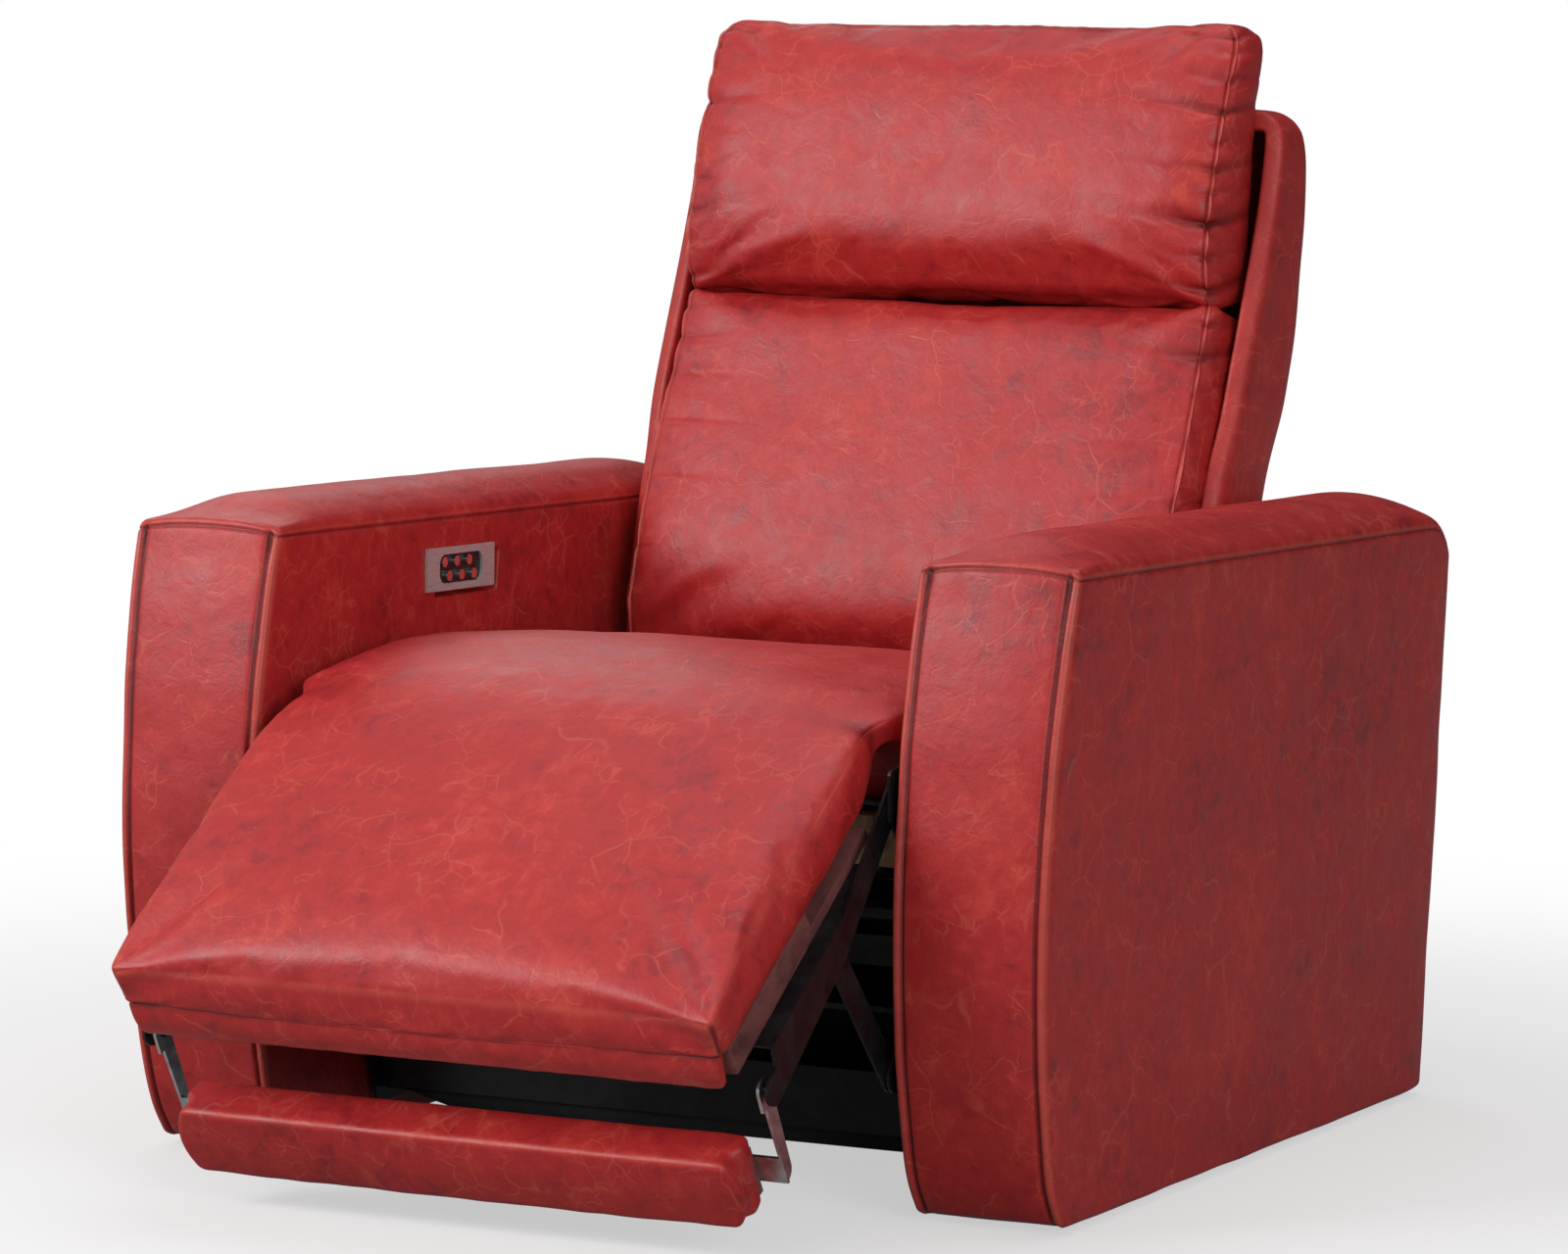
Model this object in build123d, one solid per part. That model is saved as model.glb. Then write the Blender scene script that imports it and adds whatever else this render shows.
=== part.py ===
from build123d import *
import math
import os

os.makedirs("parts", exist_ok=True)

# Reclining armchair with a power footrest, millimetres.
# X runs to the right as seen from the front, the chair faces -Y, Z is up from the floor.
# Left and right in the names are as seen from the front.

# Overall arrangement
chair_width = 1016.0
frame_shift_y = -320.064
floor_gap = 6.0
soft_gap = 0.5
butt_gap = 0.2
pin_gap = 0.05
side_gap = 2.0
overrun = 20.0
edge_share = 0.46
sharpest_turn_share = -0.5
# Stations of a cushion from its middle to its side: place, swell, pull
cushion_shares = ((0.0, -1.0, 0.0), (0.55, -0.72, 0.0), (0.86, 0.0, 0.12), (1.0, 0.0, 1.0))

# Arms
arm_width = 166.6
arm_depth = 910.0
arm_seam_front = 609.0
arm_seam_rear = 585.0
arm_crown = 28.0
arm_bow_height = 295.0
arm_top_setback = 52.0
arm_toe_setback = 66.0
arm_toe_radius = 95.0
arm_heel_setback = 21.0
arm_outer_taper = 20.6
arm_inner_taper = 12.0
arm_rear_radius = 45.0
toe_bow_share = 0.32
toe_bulge_share = 0.115
toe_rise_share = 0.33
heel_start_share = 0.10
heel_round_share = 0.24
heel_crown_share = 0.35
heel_drop_share = 0.60
front_panel_thickness = 14.0
front_panel_margin = 5.0
front_panel_round = 5.0
arm_wall = 24.0
arm_top_padding = 46.0
board_thickness = 15.0
block_depth = 40.0
block_height = 45.0
block_y_shares = (0.20, 0.50, 0.80)
glide_radius = 15.0
glide_height = 8.0

# Footrest hinge and pad, measured along the pad (reach) and square to it (lift)
hinge_y = 30.0
hinge_z = 405.0
pad_slope = 36.0
pad_side_gap = 6.0
pad_roll = 57.0
pad_reach = 385.0
pad_lip_drop = 42.0
pad_crown = 2.8
pad_pull = 15.0
pad_edge_radius = 60.0
pad_underside_share = -0.22
pad_shares = ((0.900, 1.0), (0.955, 0.82), (0.9695, 0.42), (0.962, 0.0), (0.935, -0.22),
              (-0.065, -0.22), (-0.090, 0.08), (-0.072, 0.46), (-0.020, 0.70), (0.090, 0.98))
border_shares = ((0.962, -0.305), (0.957, -0.56), (0.938, -0.65), (0.910, -0.63), (0.902, -0.305))
border_inset = 20.0
border_round = 8.0
footrest_board_thickness = 12.0
footrest_board_start = 42.0
footrest_board_end = 346.5
footrest_board_inset = 14.5

# Seat
seat_depth = 561.0
seat_height = 124.0
seat_front = 41.0
seat_base = 370.0
seat_crown = 2.4
seat_pull = 9.0
seat_edge_radius = 10.0
seat_shares = ((0.0, 0.655), (0.090, 0.825), (0.200, 0.945), (0.290, 0.990), (0.400, 0.970),
               (0.640, 0.790), (0.965, 0.530), (1.0, 0.400), (0.990, 0.0), (0.075, 0.0),
               (0.085, 0.450))
rail_thickness = 25.0
rail_height = 47.0
rail_front = 95.0
mount_tab_reach = 19.5
spring_count = 5
spring_pitch_spare_share = 0.125
spring_wire = 4.0
spring_swing = 24.0
spring_waves = 11
spring_bend_share = 0.20
spring_rest_share = 0.90
mount_tab_y_shares = (0.30, 0.88)
mount_tab_length = 60.0
mount_tab_height = 26.0
spacer_radius = 12.0
spacer_shares = ((0.310, 0.770), (0.757, 0.770), (0.307, 0.145), (0.720, 0.145))

# Steel mechanism, plates stacked from the side plate inwards
plate = 3.0
plate_arm_gap = 6.9
pin_radius = 6.0
small_pin_radius = 5.0
link_half_width = 14.0
pin_head = 2.4
pin_head_radius = 9.0
torque_y = 140.0
torque_z = 275.0
torque_radius = 12.0
knee_reach = 170.0
knee_lift = -46.0
flip_reach = 330.0
flip_lift = -60.0
bracket_foot_width = 36.0
web_start_share = 0.40
web_end_share = 0.96
web_lift_share = 0.80
foot_start_share = 0.45
foot_end_share = 0.94
flipper_arm_share = 0.80
side_plate_shares = ((0.010, 0.880), (0.010, 0.985), (0.060, 1.0), (0.180, 0.850), (0.45, 0.840),
                     (0.86, 0.840), (0.925, 0.905), (0.975, 0.905), (0.990, 0.780), (0.930, 0.690),
                     (0.805, 0.480), (0.765, 0.072), (0.675, 0.072), (0.650, 0.385), (0.400, 0.385),
                     (0.345, 0.072), (0.268, 0.072), (0.225, 0.400), (0.150, 0.600))
side_plate_rear_reach = 138.0
side_plate_top = 428.0
beam_size = 30.0
beam_height = 60.0
beam_low = 45.0
front_beam_share = 0.2811
rear_beam_share = 0.6824
cross_beam_setback = 5.0
beam_wall = 2.5

# Actuators
lever_reach = 55.0
lever_lean = 9.0
lever_width = 17.0
lever_thickness = 5.0
drive_z = 228.0
footrest_drive_x = 60.0
recline_drive_x = -60.0
yoke_thickness = 6.0
yoke_half_length = 15.0
yoke_height = 50.0
yoke_slot_height = 36.0
yoke_play = 3.0
rod_radius = 8.0
footrest_rod_share = 0.731
footrest_tube_share = 0.577
recline_rod_length = 140.0
tube_radius = 14.0
drive_tube_length = 150.0
motor_length = 70.0
motor_width = 62.0
motor_height = 54.0
motor_can_radius = 24.0
motor_can_length = 92.0
motor_to_recline = 300.0

# Flipper, the small lower pad
flipper_side_inset = 25.5
flipper_forward = 185.0
flipper_z = 72.0
flipper_pitch = 29.0
flipper_length = 70.0
flipper_thickness = 36.0
flipper_board_thickness = 10.0
flipper_round = 10.0
flipper_crown = 1.2
flipper_pull = 9.0

# Back, leaning
recline_setback = 98.0
recline_z = 360.0
recline_radius = 12.0
recline_lever_reach = 132.0
recline_lever_lean = 12.0
lean = 23.5
lean_foot_setback = 188.0
lean_foot_z = 600.0
back_rail_depth = 28.0
back_rail_thickness = 22.0
back_rail_low = 400.0
back_rail_high_share = 0.6452
back_cross_height = 36.0
back_low_rail_z = 430.0
back_spring_count = 4
back_spring_spare_share = 0.222
lumbar_setback = 28.0
lumbar_head_gap = 11.7
lumbar_rail_gap = 6.3
lumbar_base = 428.0
back_side_gap = 1.5
lumbar_crown = 4.0
lumbar_pull = 16.0
lumbar_edge_radius = 14.0
lumbar_shares = ((0.040, 0.0), (0.0, 0.120), (0.050, 0.280), (0.160, 0.455), (0.350, 0.715),
                 (0.585, 0.947), (0.972, 0.922), (0.330, 0.0))
head_depth_share = 0.4826
head_height_share = 0.4645
head_front_reach = 112.5
head_base_share = 0.6774
head_side_gap = 1.0
head_crown = 2.7
head_pull = 17.0
head_edge_radius = 60.0
head_shares = ((0.0, 0.090), (0.060, 0.020), (0.215, 0.0), (0.620, 0.018), (0.755, 0.150),
               (0.790, 0.320), (0.790, 0.640), (0.930, 0.815), (0.950, 0.905), (0.860, 0.985),
               (0.700, 1.0), (0.570, 0.925), (0.430, 0.735), (0.260, 0.530), (0.095, 0.330),
               (0.010, 0.190))
head_hinge_reach = 96.5
head_hinge_share = 0.7258
head_board_thickness = 12.0
head_board_side_inset = 47.5
head_board_depth_share = 0.825
head_board_lift = 7.5
head_board_high_share = 0.9452
head_arm_share = 0.687
head_slot_width = 16.0
head_arm_radius = 8.0
head_mount_drop = 16.0
head_mount_share = 0.40
shell_side_gap = 13.4
hanger_side_gap = 0.3
shell_side = 17.5
shell_rear_wall = 18.0
shell_height = 620.0
shell_depth_share = 0.350
shell_depth_base = 51.0
shell_setback = 66.0
shell_base = 372.0
shell_round = 40.0
shell_lip_share = 0.81
shell_rear_share = 0.38
shell_roof_share = 0.90
shell_foot_share = 0.05
shell_shares = ((0.0, 0.045), (0.165, 0.368), (0.315, 0.530), (0.632, 0.852), (0.650, 0.972),
                (0.700, 1.0), (0.860, 0.988), (0.975, 0.940), (1.0, 0.857), (0.922, 0.618),
                (0.705, 0.375), (0.492, 0.126), (0.392, 0.0), (0.245, 0.0))

# Control plate on the inner face of the left arm
plate_y = 373.5
plate_z = 542.0
plate_length = 128.0
plate_height = 43.0
plate_tilt = -1.6
bezel_thickness = 3.0
bezel_rim = 7.0
bezel_opening_length = 82.0
bezel_opening_height = 29.0
bezel_opening_round = 10.0
housing_depth = 9.0
button_radius = 5.2
button_height = 5.0
button_pitch = 23.5
lower_row_shift = 1.0
upper_row_shift = -8.5
button_row_pitch = 14.0
button_proud = 2.2
button_gap = 0.3

# Widths that follow the arms
arm_outer_x = chair_width / 2
arm_inner_x = arm_outer_x - arm_width
plate_outer_x = arm_inner_x - plate_arm_gap
plate_inner_x = plate_outer_x - plate
pad_half_width = plate_inner_x - pad_side_gap
footrest_board_half_width = pad_half_width - footrest_board_inset
flipper_half_width = pad_half_width - flipper_side_inset
seat_half_width = plate_inner_x - soft_gap
seat_rail_half_span = plate_inner_x - mount_tab_reach
seat_rail_inner_span = seat_rail_half_span - rail_thickness
spring_pitch = 2 * seat_rail_inner_span / (spring_count + spring_pitch_spare_share)
shell_half_width = arm_inner_x - shell_side_gap
back_half_width = shell_half_width - shell_side - back_side_gap
head_half_width = shell_half_width - shell_side - head_side_gap
back_rail_half_span = shell_half_width - shell_side - plate - butt_gap - hanger_side_gap
back_rail_inner_span = back_rail_half_span - back_rail_thickness
back_spring_pitch = 2 * back_rail_inner_span / (back_spring_count + back_spring_spare_share)
head_board_half_width = head_half_width - head_board_side_inset
head_arm_x = head_arm_share * head_board_half_width

# Depths that follow the seat
seat_rear = seat_front + seat_depth
recline_y = seat_rear + recline_setback
side_plate_length = seat_rear + side_plate_rear_reach
front_beam_y = front_beam_share * side_plate_length
rear_beam_y = rear_beam_share * side_plate_length
motor_start_y = recline_y - motor_to_recline
cross_beam_y = motor_start_y + cross_beam_setback
drive_run = motor_start_y - torque_y
footrest_rod_length = footrest_rod_share * drive_run
footrest_tube_length = footrest_tube_share * drive_run

# Heights and depths of the back that follow the shell
lean_rise = math.tan(math.radians(lean))
lean_foot_y = seat_rear + lean_foot_setback


def lean_y(z):
    return lean_foot_y + (z - lean_foot_z) * lean_rise


shell_front = seat_rear + shell_setback
shell_depth = shell_depth_base + shell_depth_share * shell_height
back_rail_high = shell_base + back_rail_high_share * shell_height
head_base = shell_base + head_base_share * shell_height
head_height = head_height_share * shell_height
head_depth = head_depth_share * head_height
head_front = lean_y(head_base) - head_front_reach
head_hinge_z = shell_base + head_hinge_share * shell_height
head_hinge_y = lean_y(head_hinge_z) - head_hinge_reach
head_board_low = head_hinge_z + head_board_lift
head_board_high = shell_base + head_board_high_share * shell_height
lumbar_front = seat_rear + lumbar_setback
lumbar_top_share = max(rise for _, rise in lumbar_shares)
lumbar_rear_share, lumbar_rear_rise_share = max(lumbar_shares)
lumbar_height = (head_base - lumbar_head_gap - lumbar_base) / lumbar_top_share
lumbar_depth = (lean_y(lumbar_base + lumbar_rear_rise_share * lumbar_height)
                - lumbar_front - lumbar_rail_gap) / lumbar_rear_share
sides = (("left", -1), ("right", 1))
shapes = {}


def spread(shares, start_y, start_z, depth, height):
    return [(start_y + a * depth, start_z + b * height) for a, b in shares]


def rounded_edges(points, radius):
    # lines and arcs of a closed outline, each arc as large as its neighbours leave room for
    count = len(points)
    cuts = []
    for i in range(count):
        before, here, after = points[i - 1], points[i], points[(i + 1) % count]
        length_in, length_out = math.dist(before, here), math.dist(here, after)
        way_in = ((here[0] - before[0]) / length_in, (here[1] - before[1]) / length_in)
        way_out = ((after[0] - here[0]) / length_out, (after[1] - here[1]) / length_out)
        half_turn = math.acos(max(-1, min(1, way_in[0] * way_out[0] + way_in[1] * way_out[1]))) / 2
        reach = min(radius * math.tan(half_turn), edge_share * length_in, edge_share * length_out)
        start = (here[0] - reach * way_in[0], here[1] - reach * way_in[1])
        end = (here[0] + reach * way_out[0], here[1] + reach * way_out[1])
        bow = reach * (1 - math.cos(half_turn)) / math.sin(half_turn) if half_turn else 0
        chord = ((start[0] + end[0]) / 2, (start[1] + end[1]) / 2)
        out = math.dist(chord, here)
        middle = (chord[0] + (here[0] - chord[0]) * bow / out, chord[1] + (here[1] - chord[1]) * bow / out)
        cuts.append((start, middle, end))
    edges = []
    for i in range(count):
        start, middle, end = cuts[i]
        edges.append(ThreePointArc(start, middle, end))
        edges.append(Line(end, cuts[(i + 1) % count][0]))
    return edges


def side_face(points, x=0.0, radius=0.0):
    plane = Plane.YZ.offset(x)
    if radius:
        return plane * make_face(rounded_edges(points, radius))
    return make_face(plane * Polyline(*points, close=True))


def side_slab(points, x_from, x_to, radius=0.0):
    low, high = min(x_from, x_to), max(x_from, x_to)
    return extrude(side_face(points, low, radius), amount=high - low, dir=(1, 0, 0))


def block(x_from, x_to, y_from, y_to, z_from, z_to):
    size = (abs(x_to - x_from), abs(y_to - y_from), abs(z_to - z_from))
    centre = ((x_from + x_to) / 2, (y_from + y_to) / 2, (z_from + z_to) / 2)
    return Pos(*centre) * Box(*size)


def pin(x_from, x_to, y, z, radius):
    return Pos((x_from + x_to) / 2, y, z) * Rot(0, 90, 0) * Cylinder(radius, abs(x_to - x_from))


def inset(points, distance):
    # moves every corner of a closed outline inwards by the distance, negative is outwards
    count = len(points)
    area = sum(points[i][0] * points[(i + 1) % count][1] - points[(i + 1) % count][0] * points[i][1]
               for i in range(count))
    turn = 1 if area > 0 else -1
    moved = []
    for i in range(count):
        before, here, after = points[i - 1], points[i], points[(i + 1) % count]
        ends = ((before, here), (here, after))
        normals = []
        for a, b in ends:
            length = math.dist(a, b)
            normals.append((-(b[1] - a[1]) * turn / length, (b[0] - a[0]) * turn / length))
        (ay, az), (by, bz) = normals
        scale = distance / (1 + max(ay * by + az * bz, sharpest_turn_share))
        moved.append((here[0] + (ay + by) * scale, here[1] + (az + bz) * scale))
    return moved


def soft_form(points, half_width, crown, pull, radius):
    # a cushion: full in the middle, drawn in at both ends
    ordered = [(-s, c, p) for s, c, p in reversed(cushion_shares[1:])] + list(cushion_shares)
    faces = [side_face(inset(points, crown * c + pull * p), half_width * s, radius)
             for s, c, p in ordered]
    return loft(faces)


def mirrored(name, shape, side):
    shapes[name] = shape if side > 0 else mirror(shape, about=Plane.YZ)


def rounded_link(points, radius, x_from, x_to):
    # a stamped link with a round boss at every pivot
    shape = None
    for y, z in points:
        boss = pin(x_from, x_to, y, z, radius)
        shape = boss if shape is None else shape + boss
    for (ay, az), (by, bz) in zip(points, points[1:]):
        length = math.dist((ay, az), (by, bz))
        dy, dz = (by - ay) / length, (bz - az) / length
        ny, nz = -dz * radius, dy * radius
        shape = shape + side_slab([(ay + ny, az + nz), (by + ny, bz + nz),
                                   (by - ny, bz - nz), (ay - ny, az - nz)], x_from, x_to)
    return shape


# Arms
seam_slope = (arm_seam_front - arm_seam_rear) / arm_depth


def arm_section(y, grow):
    # half section of the arm across X at depth y, as if for the right arm
    seam = arm_seam_front - seam_slope * y
    outer_low = arm_outer_x - arm_outer_taper
    inner_low = arm_inner_x + arm_inner_taper
    mid = (arm_outer_x + arm_inner_x) / 2
    plane = Plane(origin=(0, y, 0), x_dir=(1, 0, 0), z_dir=(0, -1, 0))
    foot = Polyline((inner_low + grow, 0), (outer_low - grow, 0))
    outer = Line((outer_low - grow, 0), (arm_outer_x - grow, seam - grow))
    crown = ThreePointArc((arm_outer_x - grow, seam - grow), (mid, seam + arm_crown - grow),
                          (arm_inner_x + grow, seam - grow))
    inner = Line((arm_inner_x + grow, seam - grow), (inner_low + grow, 0))
    return plane * make_face([foot, outer, crown, inner])


def arm_bar(grow):
    return loft([arm_section(-overrun, grow), arm_section(arm_depth + overrun, grow)], ruled=True)


def arm_profile(setback, low):
    # side outline of the arm from the rear foot round to the front toe
    crest_front = arm_seam_front + arm_crown + overrun
    crest_rear = arm_seam_rear + arm_crown + overrun
    toe_y = arm_toe_setback + setback
    toe_z = arm_toe_radius + low
    bow_low = arm_toe_setback * toe_bow_share + setback
    rear_foot = (arm_depth - arm_heel_setback, low)
    foot = Line(rear_foot, (toe_y, low))
    toe_middle = ((toe_y + bow_low) / 2 - arm_toe_radius * toe_bulge_share,
                  low + arm_toe_radius * toe_rise_share)
    toe = ThreePointArc((toe_y, low), toe_middle, (bow_low, toe_z))
    bow = ThreePointArc((bow_low, toe_z), (setback, arm_bow_height),
                        (arm_top_setback + setback, arm_seam_front + arm_crown / 2))
    nose = Line((arm_top_setback + setback, arm_seam_front + arm_crown / 2),
                (arm_top_setback + setback, crest_front))
    turn_y = arm_depth - arm_rear_radius
    turn_z = arm_seam_rear + arm_crown + arm_rear_radius * heel_start_share
    top = Line((arm_top_setback + setback, crest_front), (turn_y, crest_rear))
    drop = Line((turn_y, crest_rear), (turn_y, turn_z))
    corner_middle = (arm_depth - arm_rear_radius * heel_round_share,
                     arm_seam_rear + arm_crown * heel_crown_share)
    corner_end = (arm_depth, arm_seam_rear - arm_rear_radius * heel_drop_share)
    corner = ThreePointArc((turn_y, turn_z), corner_middle, corner_end)
    rear = Line(corner_end, rear_foot)
    outline = make_face([foot, toe, bow, nose, top, drop, corner, rear])
    return Plane.YZ.offset(arm_inner_x - overrun) * outline


arm_full = extrude(arm_profile(0.0, floor_gap), amount=arm_width + 2 * overrun, dir=(1, 0, 0))
arm_back_set = extrude(arm_profile(front_panel_thickness, floor_gap),
                       amount=arm_width + 2 * overrun, dir=(1, 0, 0))
arm_body = arm_back_set & arm_bar(0.0)
front_panel = (arm_full & arm_bar(front_panel_margin)) - arm_back_set
cavity_x = (arm_inner_x + arm_inner_taper + arm_wall, arm_outer_x - arm_outer_taper - arm_wall)
cavity_y = (arm_toe_setback + arm_wall * 2, arm_depth - arm_heel_setback - arm_wall)
cavity = block(*cavity_x, *cavity_y, -overrun, arm_seam_rear - arm_top_padding)
board_top = arm_seam_rear - arm_top_padding - soft_gap


spacer_blocks = []
for side_name, side in sides:
    name = side_name + "_arm"
    cover = arm_body - cavity
    if side < 0:
        socket = Pos(arm_inner_x, plate_y, plate_z) * Rot(plate_tilt, 0, 0) * Box(
            2 * (housing_depth + butt_gap), plate_length - 2 * bezel_rim + 2 * butt_gap,
            plate_height - 2 * bezel_rim + 2 * butt_gap)
        cover = cover - socket
    mirrored(name + "_cover", cover, side)
    mirrored(name + "_front_panel", front_panel, side)
    boards = [block(x_from, x_from + board_thickness, cavity_y[0] + soft_gap,
                    cavity_y[1] - soft_gap, glide_height, board_top)
              for x_from in (cavity_x[0] + soft_gap, cavity_x[1] - soft_gap - board_thickness)]
    mirrored(name + "_boards", Compound(children=boards), side)
    block_x = (side * (cavity_x[0] + soft_gap + board_thickness + butt_gap),
               side * (cavity_x[1] - soft_gap - board_thickness - butt_gap))
    for share in block_y_shares:
        y = cavity_y[0] + share * (cavity_y[1] - cavity_y[0])
        for z in (glide_height, board_top - block_height):
            spacer_blocks.append(block(*block_x, y - block_depth / 2, y + block_depth / 2,
                                       z, z + block_height))
shapes["arm_spacer_blocks"] = Compound(children=spacer_blocks)

glides = [Pos(side * (cavity_x[0] + cavity_x[1]) / 2, y, (glide_height - butt_gap) / 2)
          * Cylinder(glide_radius, glide_height - butt_gap)
          for _, side in sides
          for y in (cavity_y[0] + block_y_shares[0] * (cavity_y[1] - cavity_y[0]),
                    cavity_y[0] + block_y_shares[2] * (cavity_y[1] - cavity_y[0]))]
shapes["floor_glides"] = Compound(children=glides)

# Footrest pad, board and brackets
slope = math.radians(pad_slope)


def pad_point(reach, lift):
    return (hinge_y - reach * math.cos(slope) - lift * math.sin(slope),
            hinge_z - reach * math.sin(slope) + lift * math.cos(slope))


def lift_of(share):
    return share * (pad_roll if share > 0 else pad_lip_drop)


pad_outline = [pad_point(a * pad_reach, lift_of(b)) for a, b in pad_shares]
footrest_pad = soft_form(pad_outline, pad_half_width, pad_crown, pad_pull, pad_edge_radius)
border = [pad_point(a * pad_reach, lift_of(b)) for a, b in border_shares]
border = side_slab(border, -pad_half_width + border_inset, pad_half_width - border_inset, border_round)
shapes["footrest_pad"] = Compound(children=[footrest_pad, border])
board_low = pad_underside_share * pad_lip_drop - soft_gap - pad_crown - footrest_board_thickness
board_high = board_low + footrest_board_thickness
shapes["footrest_board"] = side_slab(
    [pad_point(footrest_board_start, board_low), pad_point(footrest_board_end, board_low),
     pad_point(footrest_board_end, board_high), pad_point(footrest_board_start, board_high)],
    -footrest_board_half_width, footrest_board_half_width)

layer = plate + side_gap
bracket_out = plate_inner_x - side_gap
bracket_in = bracket_out - plate
coupler_out = bracket_out - layer
coupler_in = coupler_out - plate
flip_out = coupler_out - layer
flip_in = flip_out - plate

hinge_point = (hinge_y, hinge_z)
knee_point = pad_point(knee_reach, knee_lift)
flip_point = pad_point(flip_reach, flip_lift)
torque_point = (torque_y, torque_z)
link_dy, link_dz = torque_y - hinge_y, torque_z - hinge_z
elbow_point = (knee_point[0] + link_dy, knee_point[1] + link_dz)
recline_point = (recline_y, recline_z)

foot_high = board_low - butt_gap
foot_low = foot_high - plate
foot_from, foot_to = knee_reach * foot_start_share, flip_reach * foot_end_share
for side_name, side in sides:
    arm = rounded_link([hinge_point, knee_point, flip_point], link_half_width, bracket_in, bracket_out)
    web = side_slab([pad_point(knee_reach * web_start_share, knee_lift / 2),
                     pad_point(flip_reach * web_end_share, flip_lift * web_lift_share),
                     pad_point(foot_to, foot_high), pad_point(foot_from, foot_high)], bracket_in, bracket_out)
    foot = side_slab([pad_point(foot_from, foot_low), pad_point(foot_to, foot_low),
                      pad_point(foot_to, foot_high), pad_point(foot_from, foot_high)],
                     bracket_out - bracket_foot_width, bracket_out)
    bracket = arm + web + foot
    bracket = bracket + pin(bracket_out, plate_outer_x + pin_head, *hinge_point, pin_radius)
    bracket = bracket + pin(coupler_in - pin_head, bracket_in, *knee_point, small_pin_radius)
    bracket = bracket + pin(flip_in - pin_head, bracket_in, *flip_point, small_pin_radius)
    mirrored(side_name + "_footrest_bracket", bracket, side)

    coupler = rounded_link([knee_point, elbow_point], link_half_width, coupler_in, coupler_out)
    for point in (knee_point, elbow_point):
        coupler = coupler - pin(coupler_in - overrun, coupler_out + overrun, *point,
                                small_pin_radius + pin_gap)
    mirrored(side_name + "_footrest_link", coupler, side)

    crank = rounded_link([torque_point, elbow_point], link_half_width, bracket_in, bracket_out)
    crank = crank + pin(coupler_in - pin_head, bracket_in, *elbow_point, small_pin_radius)
    crank = crank + pin(bracket_out, plate_outer_x + pin_head, *torque_point, pin_radius)
    mirrored(side_name + "_crank", crank, side)

# Torque tube with the lever that the footrest actuator pushes
lever_angle = math.radians(-90 + lever_lean)
lever_pin = (torque_y - lever_reach * math.cos(lever_angle), torque_z + lever_reach * math.sin(lever_angle))
lever_x = footrest_drive_x + yoke_thickness / 2 + side_gap / 2
torque_tube = pin(-bracket_in + butt_gap, bracket_in - butt_gap, *torque_point, torque_radius)
lever = rounded_link([torque_point, lever_pin], lever_width / 2, lever_x, lever_x + lever_thickness)
lever = lever + pin(lever_x - lever_thickness, lever_x + 2 * lever_thickness,
                    *torque_point, torque_radius + plate)
lever = lever + pin(footrest_drive_x - yoke_thickness, lever_x, *lever_pin, small_pin_radius)
shapes["torque_tube"] = torque_tube + lever


def push_rod(x, pin_y, toward, length):
    # rod with a slotted plate, the pin of the lever rides in the slot
    fork = block(x - yoke_thickness / 2, x + yoke_thickness / 2, pin_y - yoke_half_length,
                 pin_y + yoke_half_length, drive_z - yoke_height / 2, drive_z + yoke_height / 2)
    slot_half = small_pin_radius + yoke_play
    fork = fork - block(x - overrun, x + overrun, pin_y - slot_half, pin_y + slot_half,
                        drive_z - yoke_slot_height / 2, drive_z + yoke_slot_height / 2)
    start = pin_y + toward * (yoke_half_length - butt_gap)
    centre = start + toward * length / 2
    return fork + Pos(x, centre, drive_z) * Rot(90, 0, 0) * Cylinder(rod_radius, length)


def actuator(x, toward, tube_length):
    # gearbox with its motor can hanging below the axis and a guide tube for the rod
    y0, y1 = motor_start_y, motor_start_y + motor_length
    box = block(x - motor_width / 2, x + motor_width / 2, y0, y1,
                drive_z - motor_height / 2, drive_z + motor_height / 2)
    box = fillet(box.edges().filter_by(Axis.Y), front_panel_round)
    out = 1 if x > 0 else -1
    can_x = x + out * (motor_width / 2 + motor_can_length / 2 - butt_gap)
    can = Pos(can_x, (y0 + y1) / 2, drive_z) * Rot(0, 90, 0) * Cylinder(motor_can_radius, motor_can_length)
    end = y1 if toward > 0 else y0
    tube = Pos(x, end + toward * (tube_length / 2 - butt_gap), drive_z) * Rot(90, 0, 0) * Cylinder(
        tube_radius, tube_length)
    bore = Pos(x, end + toward * tube_length / 2, drive_z) * Rot(90, 0, 0) * Cylinder(
        rod_radius + pin_gap, tube_length + overrun)
    return (box + can + tube) - bore


recline_angle = math.radians(-90 - recline_lever_lean)
recline_pin = (recline_y - recline_lever_reach * math.cos(recline_angle),
               recline_z + recline_lever_reach * math.sin(recline_angle))
shapes["footrest_push_rod"] = push_rod(footrest_drive_x, lever_pin[0], 1, footrest_rod_length)
shapes["recline_push_rod"] = push_rod(recline_drive_x, recline_pin[0], -1, recline_rod_length)
shapes["footrest_actuator"] = actuator(footrest_drive_x, -1, footrest_tube_length)
shapes["recline_actuator"] = actuator(recline_drive_x, 1, drive_tube_length)

# Side plates and base beams
plate_outline = spread(side_plate_shares, 0.0, 0.0, side_plate_length, side_plate_top)
for side_name, side in sides:
    side_plate = side_slab(plate_outline, plate_inner_x, plate_outer_x, plate * 2)
    for point in (hinge_point, torque_point, recline_point):
        side_plate = side_plate - pin(plate_inner_x - overrun, plate_outer_x + overrun, *point,
                                      pin_radius + pin_gap)
    mirrored(side_name + "_side_plate", side_plate, side)

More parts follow.
